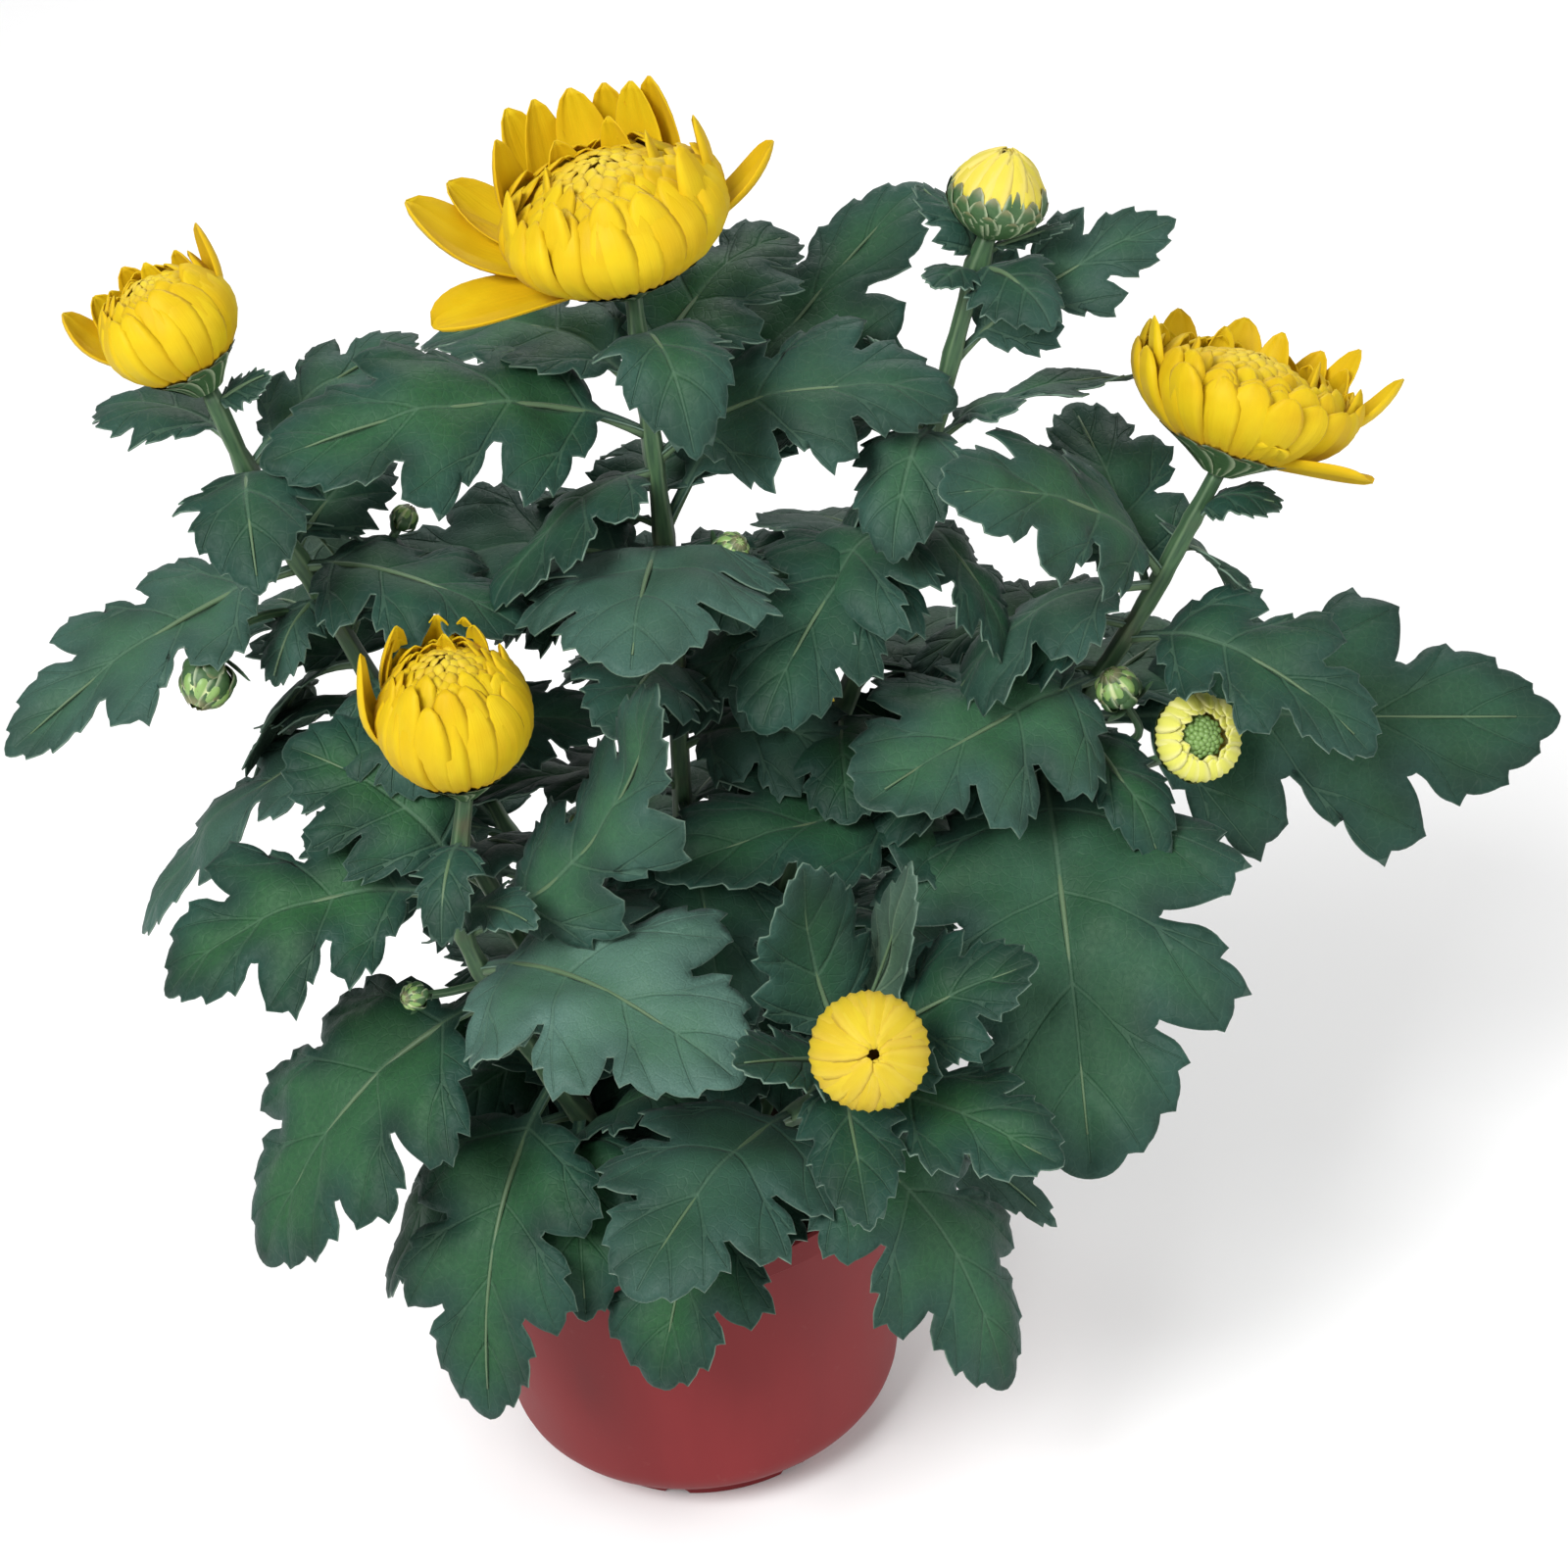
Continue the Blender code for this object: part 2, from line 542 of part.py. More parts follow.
def make_calyx(name, place, axis, radius, collection):
    """The green cup below a flower head, with a ring of short bracts."""
    turn = axis_turn(axis)
    bm = bmesh.new()
    bmesh.ops.create_cone(bm, cap_ends=True, segments=CALYX_SIDES, radius1=STEM_TOP_RADIUS * 0.9,
                          radius2=radius, depth=CALYX_HEIGHT)
    for vertex in bm.verts:
        vertex.co = (place + turn @ (vertex.co - Vector((0, 0, CALYX_HEIGHT / 2)))) * MM
    add_object(name, mesh_from(name, bm), collection)
    for index in range(BRACTS):
        azimuth = math.tau * (index + 0.3) / BRACTS
        route = ((radius * 0.6, -2.4), (radius * 0.8, -2.6), (radius, -2.6),
                 (radius + BRACT_LENGTH, -1.4))
        make_petal(name + "_bract", place, turn, azimuth, route, radius * 0.9, collection,
                   BRACT_STATIONS)


def make_petal(name, place, turn, azimuth, route, width, collection, stations=PETAL_STATIONS):
    """One petal, crowned on its outer side, along a curve in the plane through the axis."""
    out = Vector((math.cos(azimuth), math.sin(azimuth), 0.0))
    side = Vector((-math.sin(azimuth), math.cos(azimuth), 0.0))
    knots = [out * radius + Vector((0, 0, height)) for radius, height in route]
    bm = bmesh.new()
    rings = []
    for t, share in stations:
        weights = ((1 - t) ** 3, 3 * t * (1 - t) ** 2, 3 * t * t * (1 - t), t ** 3)
        point = sum((knot * weight for knot, weight in zip(knots, weights)), Vector())
        slope = ((knots[1] - knots[0]) * (1 - t) ** 2 + (knots[2] - knots[1]) * 2 * t * (1 - t)
                 + (knots[3] - knots[2]) * t * t).normalized()
        normal = slope.cross(side)
        half = width / 2 * share
        crown = 0.34 * half + 0.5
        rings.append([bm.verts.new((place + turn @ corner) * MM) for corner in
                      (point + side * half - normal * 0.4, point + normal * crown,
                       point - side * half - normal * 0.4)])
    for low, high in zip(rings, rings[1:]):
        for corner in range(3):
            after = (corner + 1) % 3
            bm.faces.new((low[corner], low[after], high[after], high[corner]))
    tip = bm.verts.new((place + turn @ knots[3]) * MM)
    for corner in range(3):
        bm.faces.new((rings[-1][corner], rings[-1][(corner + 1) % 3], tip))
    bm.faces.new(rings[0])
    return add_object(name, mesh_from(name, bm), collection)


def flower_seat(name, routes):
    """Where a flower head sits: the middle of its calyx's flat top."""
    carrier = FLOWERS[name][0]
    if name in FLOWER_STALKS:
        end = Vector(FLOWER_STALKS[name][2][-1])
    else:
        end = routes[carrier][-1]
    return end + Vector(FLOWERS[name][1]).normalized() * (CALYX_HEIGHT - 1.0)


def make_flower(name, seat, parts, pieces, material):
    """One flower head: a ball ribbed by its outer petals, inner petals and loose ones."""
    _, axis, radius, height, _, ribs, rows = FLOWERS[name]
    rng = random.Random(name)
    turn = axis_turn(axis)
    place = seat + Vector(axis).normalized() * GAP
    rings = 6 if radius > 20 else 5
    ball = make_ball(name, place, axis, radius, height, ribs, rings, RIB_DEPTH, parts)
    for count, first, root, root_height, tip, tip_height, width in rows:
        for index in range(count):
            azimuth = math.radians(first + 360.0 * index / count + rng.uniform(-3, 3))
            reach = rng.uniform(0.95, 1.06)
            route = ((radius * root * 0.86, height * root_height * 0.86),
                     (radius * root * 1.04, height * root_height),
                     (radius * max(root, tip) * 1.10, height * (root_height + tip_height) / 2),
                     (radius * tip * reach, height * tip_height * reach))
            make_petal(name + "_petal", place, turn, azimuth, route, width, pieces)
    for azimuth, out, rise, tip_out, tip_rise, width in LOOSE_PETALS.get(name, ()):
        route = ((radius * 0.40, height * 0.20), (out * 0.75, rise + 3.0), (out, rise + 2.0),
                 (tip_out, tip_rise))
        make_petal(name + "_loose_petal", place, turn, math.radians(azimuth), route, width, pieces)
    apply_boolean(ball, pieces, "UNION")
    ball.data.materials.append(material)
    return ball


def make_shoot(name, start, shoot, collection):
    """A side shoot that ends in a small ribbed green bud."""
    _, points, radius = shoot
    route = [start, *(Vector(point) for point in points)]
    tube(name, route, SHOOT_RADIUS, SHOOT_RADIUS * 0.8, 0, collection)
    axis = (route[-1] - route[-2]).normalized()
    make_ball(name + "_bud", route[-1] - axis * 0.8, axis, radius, radius * 1.9, 4, 5, RIB_DEPTH,
              collection)


def make_stem(name, routes, parts, pieces, material):
    """One leafy stem with its leaves, side shoots and calyxes as one grown piece."""
    rng = random.Random(name)
    route = routes[name]
    stem = tube(name, route, STEM_BASE_RADIUS, STEM_TOP_RADIUS, 1, parts)
    for index, leaf in enumerate(LEAVES[name]):
        base = stem_point(route, leaf[0])
        make_leaf(f"{name}_leaf_{index}", base, leaf, pieces, rng)
    for index, shoot in enumerate(SHOOTS.get(name, ())):
        make_shoot(f"{name}_shoot_{index}", stem_point(route, shoot[0]), shoot, pieces)
    for flower, (carrier, height, points) in FLOWER_STALKS.items():
        if carrier == name:
            stalk = [stem_point(route, height), *points]
            tube(flower + "_stalk", stalk, SHOOT_RADIUS * 1.3, SHOOT_RADIUS * 1.3, 0, pieces)
    for flower, (carrier, axis, _, _, calyx, *_) in FLOWERS.items():
        if carrier == name:
            make_calyx(flower + "_calyx", flower_seat(flower, routes), axis, calyx, pieces)
    apply_boolean(stem, pieces, "UNION")
    stem.data.materials.append(material)
    return stem


def smooth_shading(obj):
    """Shade round surfaces smooth and keep real edges."""
    obj.data.shade_smooth()
    obj.data.set_sharp_from_angle(angle=math.radians(40))


def main():
    clear_scene()
    parts = new_collection("pot_chrysanthemum")
    cutters = new_collection("cutters")
    pieces = new_collection("pieces")
    green, yellow = principled("leaf"), principled("petal")
    made = [make_pot(parts, cutters, principled("pot")),
            make_mix(parts, cutters, principled("mix"))]
    routes = {name: [Vector(point) for point in points] for name, points in STEMS.items()}
    made += [make_stem(name, routes, parts, pieces, green) for name in STEMS]
    made += [make_flower(name, flower_seat(name, routes), parts, pieces, yellow)
             for name in FLOWERS]
    for obj in made:
        smooth_shading(obj)


main()
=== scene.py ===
"""Pot chrysanthemum dressed for its picture: cut leaves with veins, packed petals, pot and mix.

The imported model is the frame.  Each solid leafy stem and flower head is replaced by a finer piece
grown along the same routes from the same measures.  Lengths in the tables are in millimetres and
angles in degrees; -Y is the side that the picture shows.
"""
import json
import math
import random

import bmesh
import bpy
import numpy as np
from mathutils import Matrix, Vector, noise
from mathutils.geometry import delaunay_2d_cdt

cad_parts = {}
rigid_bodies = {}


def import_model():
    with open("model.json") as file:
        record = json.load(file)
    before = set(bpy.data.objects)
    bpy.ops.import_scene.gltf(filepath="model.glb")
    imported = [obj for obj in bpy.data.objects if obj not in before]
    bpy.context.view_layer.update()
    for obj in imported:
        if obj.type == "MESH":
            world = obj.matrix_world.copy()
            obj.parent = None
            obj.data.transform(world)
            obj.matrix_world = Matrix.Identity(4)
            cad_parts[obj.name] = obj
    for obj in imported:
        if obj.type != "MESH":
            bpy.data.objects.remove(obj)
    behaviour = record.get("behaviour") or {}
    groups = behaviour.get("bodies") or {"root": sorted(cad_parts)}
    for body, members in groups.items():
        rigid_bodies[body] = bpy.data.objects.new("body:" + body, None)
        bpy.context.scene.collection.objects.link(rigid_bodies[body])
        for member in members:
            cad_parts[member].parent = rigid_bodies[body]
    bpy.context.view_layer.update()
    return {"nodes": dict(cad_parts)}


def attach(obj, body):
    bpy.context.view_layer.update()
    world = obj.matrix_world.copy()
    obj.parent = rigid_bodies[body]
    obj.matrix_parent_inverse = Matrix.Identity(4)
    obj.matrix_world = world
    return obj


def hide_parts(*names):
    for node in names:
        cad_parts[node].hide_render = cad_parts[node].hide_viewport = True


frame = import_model()

MM = 0.001
GOLDEN_ANGLE = math.radians(137.508)

# Camera, as worked out from the picture
CAMERA_PLACE = (0.0449, -0.7930, 0.7412)
CAMERA_PITCH = 33.0
CAMERA_ROLL = 6.4
LENS = 76.5
SENSOR = 36.0

# Studio: place, size and power of each light, and the point that they look at
LIGHTS = {
    "key": ((-0.9, -1.3, 1.9), 1.0, 58.0), "fill": ((1.5, -0.9, 1.1), 1.4, 14.0),
    "back": ((0.4, 1.6, 1.6), 1.2, 18.0),
}
LIGHT_TARGET = (0.04, 0.0, 0.22)
SKY_STRENGTH = 0.42
FLOOR_REACH = 9000.0

# Pot
POT_HEIGHT = 112.0
RIM_RADIUS = 71.0
RIM_BAND = 9.0
RIM_PROUD = 1.6
RIM_EDGE = 0.8           # rounding of the rim's edges
WALL = 2.0
# Outside of the lower edge, where the wall turns in to the foot, and inside from the floor up
TURN_IN = ((61.75, 22.6), (61.6, 20.8), (61.2, 18.6), (60.4, 16.3), (59.0, 14.2), (57.0, 12.4),
           (54.0, 10.9), (50.0, 9.5), (48.4, 8.4), (47.7, 6.6), (47.2, 0.7), (46.5, 0.0))
INSIDE = ((41.0, 4.5), (41.0, 11.5), (55.0, 15.2), (59.3, 21.5))
FLOOR = INSIDE[0][1]
FOOT_RADIUS = 47.0
POT_STEPS = 144
NOTCHES = 8              # low arches between the lobes of the foot
NOTCH_START = 30.0
NOTCH_RADIUS = 4.5
NOTCH_DEPTH = 1.5        # centre of an arch below the ground
NOTCH_REACH = 3.5        # how far it cuts in from the outside of the foot
DRAIN_HOLES = 6
DRAIN_RADIUS = 3.5
DRAIN_CIRCLE = 28.0

# Potting mix
MIX_LEVEL = 100.0
MIX_RADIUS = 66.5
MIX_RINGS = 30
MIX_SIDES = 96
MIX_SWELL = 3.2
MIX_GRAIN = 1.1
CRUMBS = 900
WHITE_GRAINS = 40

# Stems and leaves
STEM_BASE_RADIUS = 3.0
STEM_TOP_RADIUS = 2.2
SHOOT_RADIUS = 1.2
STEM_SIDES = 20
STEM_RIBS = 5
BLADE_THICKNESS = 0.5
BLADE_GRID = 2.1
INNER_GRID = 2.8
FLANK = 0.85             # how far beside a vein the points stand that hold its slope
QUILT = 0.8              # how high the blade swells beside its veins, and over what width
QUILT_WIDTH = 6.5
EDGE_ROLL = 0.9          # how far the edge turns down, and over what width
EDGE_WIDTH = 2.2
UNEVEN = 3.4
RIPPLE = 1.4
PAINTED_SHEEN_MOST = 0.28       # most painted grey sheen of the leaves that have no value of their own

# Small leaves inside the plant: heights, space between them and the room that they stay in
INNER_FOOT = 16.0
INNER_CROWN = 30.0
INNER_TOP = 330.0
INNER_STEP = 12.5
INNER_SHORTEST = 34.0
INNER_FRONT = -38.0
INNER_MIDDLE = np.array((-2.0, 14.0, 211.0))
INNER_REACH = np.array((92.0, 74.0, 121.0))

# Flower heads
CALYX_HEIGHT = 5.0
BRACT_GRID = {"rows": 8, "columns": 5, "groove": 0.0}
BRACT_ROWS = 3
BALL_CUT = 0.94
BALL_MIDDLE = 0.60
BALL_TAPER = 0.7
PETAL_THICKNESS = 0.35
PETAL_ROWS = 12
PETAL_COLUMNS = 7
PETALS_PER_RIB = 1.9
PETAL_OVERLAP = 1.6
RING_TURN = 0.37         # how far each ring of petals is turned, as a share of a petal
CORE_RADIUS = 0.50       # packed core and green disc, as shares of a head's radius and height
CORE_HEIGHT = 0.60
DISC_RADIUS = 0.46
DISC_HEIGHT = 0.72

# One side of each kind of blade: shares of the length and of the half width
LEAF_EDGES = {
    "broad": (
        (0, 0.045), (0.12, 0.05), (0.15, 0.13), (0.18, 0.55), (0.22, 0.55), (0.285, 0.9),
        (0.31, 0.85), (0.385, 1), (0.4, 0.92), (0.45, 0.87), (0.468, 0.54), (0.485, 0.51),
        (0.505, 0.68), (0.565, 0.86), (0.585, 0.82), (0.665, 0.96), (0.675, 0.87), (0.735, 0.79),
        (0.712, 0.46), (0.728, 0.43), (0.745, 0.49), (0.8, 0.59), (0.815, 0.53), (0.885, 0.49),
        (0.892, 0.41), (0.95, 0.29), (0.956, 0.21),
    ),
    "long": (
        (0, 0.05), (0.15, 0.06), (0.175, 0.13), (0.22, 0.5), (0.25, 0.5), (0.315, 0.84),
        (0.335, 0.79), (0.41, 0.94), (0.422, 0.84), (0.462, 0.72), (0.445, 0.45), (0.465, 0.42),
        (0.49, 0.49), (0.555, 0.74), (0.572, 0.71), (0.655, 0.98), (0.668, 0.9), (0.73, 0.8),
        (0.705, 0.41), (0.725, 0.38), (0.745, 0.43), (0.81, 0.55), (0.825, 0.49), (0.895, 0.44),
        (0.9, 0.36), (0.955, 0.24), (0.96, 0.17),
    ),
    "small": (
        (0, 0.08), (0.12, 0.08), (0.15, 0.17), (0.24, 0.6), (0.265, 0.6), (0.36, 0.91),
        (0.38, 0.86), (0.47, 1), (0.515, 0.7), (0.535, 0.69), (0.56, 0.74), (0.64, 0.86),
        (0.655, 0.8), (0.76, 0.76), (0.77, 0.66), (0.875, 0.5), (0.885, 0.4), (0.955, 0.24),
        (0.96, 0.16),
    ),
}

# What those points are: a tooth's tip, the notch beside it, the bottom of a deep cut or a plain
# point of the side
TWO_CUTS = ("side side notch tooth notch tooth notch tooth notch tooth cut cut side tooth notch "
            "tooth notch tooth cut cut side tooth notch tooth notch tooth notch").split()
ONE_CUT = ("side side notch tooth notch tooth notch tooth cut cut side tooth notch tooth notch "
           "tooth notch tooth notch").split()
EDGE_KINDS = {"broad": TWO_CUTS, "long": TWO_CUTS, "small": ONE_CUT}

# How far each stretch of edge swells out, as a share of its length, by the kind of its end
EDGE_SWELL = {"tooth": 0.13, "notch": 0.05, "cut": 0.07, "side": -0.03}
TOOTH_TIP = 0.8

# Side veins: where each leaves the midrib, the tooth that it runs to, and its branches: share of
# the side vein where they leave and the tooth.
LEAF_VEINS = {
    "broad": ((0.17, 2, ((0.25, 0), (0.40, 1), (0.55, 3))), (0.40, 5, ((0.45, 4), (0.55, 6))),
              (0.62, 8, ((0.45, 7),)), (0.80, 9, ())),
    "long": ((0.20, 2, ((0.25, 0), (0.40, 1), (0.60, 3))), (0.41, 5, ((0.45, 4), (0.60, 6))),
             (0.64, 8, ((0.45, 7),)), (0.82, 9, ())),
    "small": ((0.17, 2, ((0.30, 0), (0.45, 1))), (0.42, 4, ((0.45, 3),)), (0.66, 5, ())),
}

# How much painted grey sheen the listed leaves have, most where lit; others get a share by chance
PAINTED_SHEEN = {
    "stem_left_front 3": 0.95, "stem_left_front 0": 0.25, "stem_left_front 4": 0.04,
    "stem_left_front 7": 0.04, "stem_left 5": 0.50, "stem_left 0": 0.35, "stem_centre 7": 0.45,
    "stem_centre 3": 0.15, "stem_front 6": 0.30, "stem_front 7": 0.10, "stem_front 8": 0.0,
    "stem_right 8": 0.12, "stem_right 6": 0.25, "stem_right 5": 0.05,
}

# The middle line of each stem, from inside the mix to its flower head
STEMS = {
    "stem_centre": ((5, 4, 72), (5, 4, 112), (12, 3, 178), (18, 3, 258), (20, 3, 308),
                    (20, 5, 343), (20, 7, 379)),
    "stem_left": ((-13, 2, 72), (-13, 2, 112), (-28, 0, 158), (-50, -2, 228), (-71, -4, 298),
                  (-83, -5, 333), (-92, -5, 371)),
    "stem_right_back": ((20, 16, 72), (20, 16, 112), (36, 12, 168), (62, 9, 238), (84, 8, 296),
                        (97, 9, 333), (107, 10, 364), (114, 10, 383)),
    "stem_right": ((27, -4, 72), (27, -4, 112), (56, -2, 150), (100, 0, 196), (132, 0, 244),
                   (150, 0, 272), (162, 0, 294), (171, 1, 310)),
    "stem_left_front": ((-16, -22, 72), (-16, -22, 112), (-30, -36, 158), (-44, -47, 208),
                        (-46, -50, 233), (-39, -50, 268)),
    "stem_front": ((14, -26, 72), (14, -26, 112), (28, -48, 140), (42, -72, 168),
                   (51, -88, 192), (58, -100, 207)),
    "stem_back_left": ((-12, 28, 72), (-12, 28, 112), (-24, 52, 140), (-40, 80, 160),
                       (-48, 92, 174)),
    "stem_back_right": ((14, 36, 72), (14, 36, 112), (34, 58, 138), (54, 80, 152),
                        (60, 88, 158)),
}

# Each leaf: height of its stalk on the stem, place of its tip, width, arch as a share of its
# length, roll about its midrib and kind.
LEAVES = {
    "stem_centre": (
        (339, (-80, -22, 355), 62, 0.12, -26, "long"),
        (349, (-40, 48, 350), 46, 0.20, 0, "broad"),
        (365, (32, -38, 351), 36, 0.32, 0, "small"),
        (331, (102, -4, 342), 56, 0.15, 25, "long"),
        (354, (65, 56, 369), 46, 0.12, 8, "broad"),
        (310, (102, 72, 373), 56, 0.06, 10, "long"),
        (298, (-68, 12, 296), 62, 0.12, -8, "broad"),
        (305, (9, -64, 306), 72, 0.12, 0, "broad"),
        (223, (22, -70, 190), 50, 0.15, 0, "broad"),
        (270, (-42, 84, 270), 56, 0.12, 0, "broad"),
        (258, (70, 88, 254), 60, 0.12, 0, "broad"),
    ),
    "stem_left": (
        (316, (-158, -40, 288), 50, 0.07, -12, "long"),
        (356, (-126, 18, 358), 36, 0.12, 0, "small"),
        (345, (-82, -50, 333), 38, 0.22, 0, "small"),
        (346, (-39, 26, 364), 34, 0.10, 8, "long"),
        (320, (-52, 28, 330), 30, 0.10, 20, "small"),
        (260, (-140, -10, 206), 42, 0.14, 0, "long"),
        (284, (-97, 14, 228), 40, 0.20, 0, "broad"),
        (276, (-98, 62, 270), 50, 0.12, 0, "broad"),
        (230, (-100, 66, 208), 54, 0.14, 0, "broad"),
    ),
    "stem_right_back": (
        (348, (164, 16, 378), 36, 0.06, 38, "long"),
        (374, (97, 22, 394), 18, 0.10, 0, "small"),
        (373, (126, -14, 364), 28, 0.22, 0, "small"),
        (370, (97, -8, 377), 15, 0.10, 0, "small"),
        (324, (152, 22, 331), 34, 0.10, -16, "long"),
        (330, (80, -26, 308), 32, 0.18, 0, "small"),
        (304, (110, -14, 266), 38, 0.16, -20, "broad"),
        (298, (40, -50, 275), 52, 0.14, -20, "broad"),
        (248, (118, 80, 220), 52, 0.12, 0, "broad"),
    ),
    "stem_right": (
        (281, (93, -31, 330), 54, 0.12, -32, "long"),
        (274, (138, 56, 308), 44, 0.08, 0, "broad"),
        (289, (177, 22, 260), 38, 0.10, 25, "broad"),
        (297, (187, -8, 303), 20, 0.16, 0, "small"),
        (262, (204, -46, 244), 46, 0.16, 20, "long"),
        (238, (268, 4, 217), 84, 0.00, 38, "long"),
        (251, (65, -52, 251), 64, 0.03, -24, "broad"),
        (236, (146, -44, 214), 26, 0.15, 0, "small"),
        (224, (116, -97, 151), 104, 0.14, 0, "broad"),
        (200, (8, -58, 239), 56, 0.10, -20, "broad"),
        (236, (186, 62, 222), 56, 0.12, 0, "broad"),
        (186, (150, 72, 168), 58, 0.14, 0, "broad"),
    ),
    "stem_left_front": (
        (222, (16, -58, 299), 48, -0.12, 40, "long"),
        (252, (-49, -78, 238), 20, 0.25, 0, "small"),
        (234, (-128, -60, 220), 60, 0.16, -25, "long"),
        (208, (25, -110, 206), 76, 0.14, 12, "broad"),
        (196, (-115, -72, 133), 76, 0.14, -12, "broad"),
        (174, (-114, -34, 158), 48, 0.14, 0, "broad"),
        (142, (-87, -48, 94), 34, 0.18, 0, "small"),
        (158, (-58, -93, 84), 60, 0.20, 0, "broad"),
        (140, (-27, -88, 112), 46, 0.16, 0, "small"),
        (242, (-88, -24, 272), 50, 0.14, -30, "broad"),
    ),
    "stem_front": (
        (200, (48, -88, 258), 38, -0.14, 0, "small"),
        (198, (24, -114, 217), 28, 0.02, -20, "small"),
        (194, (106, -92, 222), 42, 0.06, 25, "broad"),
        (186, (76, -74, 246), 26, 0.05, 0, "small"),
        (184, (106, -126, 181), 46, 0.06, 10, "broad"),
        (192, (54, -142, 180), 28, 0.10, 0, "small"),
        (160, (-10, -127, 153), 64, 0.12, -10, "broad"),
        (164, (87, -116, 96), 60, 0.20, 0, "broad"),
        (136, (-8, -96, 92), 66, 0.20, 0, "broad"),
        (138, (109, -60, 103), 22, 0.20, 40, "small"),
    ),
    "stem_back_left": (
        (154, (-110, 82, 148), 60, 0.14, 0, "broad"),
        (162, (-86, 142, 158), 54, 0.12, 0, "broad"),
        (146, (10, 124, 148), 56, 0.14, 0, "broad"),
        (132, (-42, 126, 98), 62, 0.18, 0, "broad"),
        (164, (-106, 62, 180), 34, 0.10, 0, "small"),
    ),
    "stem_back_right": (
        (142, (122, 98, 126), 62, 0.16, 0, "broad"),
        (138, (84, 146, 98), 58, 0.16, 0, "broad"),
        (140, (128, 92, 158), 46, 0.12, 0, "broad"),
        (130, (52, 122, 92), 50, 0.20, 0, "broad"),
        (134, (8, 132, 134), 40, 0.10, 0, "small"),
    ),
}

# Leaflets that only the fine pieces have, in the same terms
LEAFLETS = {
    "stem_centre": ((312, (-14, 24, 312), 20, 0.05, 40, "small"),),
    "stem_right": ((206, (62, 28, 238), 32, 0.05, -10, "small"),),
    "stem_left": (
        (306, (-88, -26, 292), 20, 0.15, 0, "small"),
        (366, (-75, -9, 375), 11, 0.05, 20, "small"),
    ),
    "stem_right_back": (
        (378, (136, 9, 383), 5, 0.03, 30, "small"),
        (334, (80, 20, 353), 14, 0.10, 50, "small"),
    ),
    "stem_left_front": ((224, (-24, -76, 240), 18, 0.15, 20, "small"),),
}

# Side shoots: height on the stem, points, and radius of the green bud at the end
SHOOTS = {
    "stem_centre": ((296, ((30, -4, 300), (36, -9, 307)), 5.0),),
    "stem_left": (
        (300, ((-86, -8, 304), (-96, -20, 307), (-101, -28, 302)), 7.5),
        (292, ((-60, 4, 306), (-51, 9, 317)), 4.0),
    ),
    "stem_right": ((230, ((134, -6, 230), (145, -10, 236), (141, -12, 249)), 6.5),),
    "stem_left_front": (
        (168, ((-22, -36, 198), (-12, -34, 230), (-11, -33, 238)), 4.5),
        (178, ((-24, -36, 213), (-8, -32, 242), (-4, -31, 249)), 6.5),
        (202, ((-52, -55, 207), (-59, -61, 211)), 4.0),
    ),
}

# Heads on a side stalk: the stem, the height on it and the stalk's points
FLOWER_STALKS = {
    "bud_opening_right": ("stem_right", 222, ((136, -5, 222), (150, -13, 229), (157, -18, 237))),
}

# Each flower head: its stem, its axis, radius and height of its ball, radius of its calyx,
# number of outer petals, and rows of petals that stand out of its top.  A row is: number of
# petals, first azimuth, radius of the root, radius and height of the tips, and width.
FLOWERS = {
    "bloom_top": ("stem_centre", (-0.12, -0.05, 1), 33, 32, 9, 13, (
        (10, 13, 0.90, 0.84, 1.26, 15), (6, 5, 0.52, 0.44, 1.18, 13))),
    "bloom_left": ("stem_left", (-0.36, 0.06, 1), 20, 27, 7, 9, (
        (8, 20, 0.86, 0.72, 1.08, 12), (4, 0, 0.42, 0.30, 1.10, 10))),
    "bloom_right": ("stem_right", (0.44, 0.26, 1), 30, 28, 8, 12, (
        (10, 20, 0.94, 1.06, 1.12, 15), (6, 0, 0.56, 0.60, 1.16, 12))),
    "bloom_lower_left": ("stem_left_front", (0.02, -0.08, 1), 22.8, 37, 7, 11, (
        (8, 17, 0.84, 0.68, 1.05, 13), (5, 0, 0.44, 0.30, 1.08, 10))),
    "bud_front": ("stem_front", (0.06, -0.84, 0.55), 19.3, 27, 7, 11, ()),
    "bud_right_back": ("stem_right_back", (0.30, 0.02, 1), 13.6, 18.5, 6, 9, ()),
    "bud_opening_right": ("stem_right", (0.22, -0.78, 0.58), 14, 14, 6, 10, ()),
    "bloom_back_right": ("stem_back_right", (0.10, 1.00, 0.80), 20, 32, 7, 8, (
        (7, 18, 0.86, 0.72, 1.12, 12), (4, 0, 0.42, 0.30, 1.12, 9))),
    "bud_back_left": ("stem_back_left", (-0.35, 0.40, 1), 12, 22, 6, 8, ()),
}

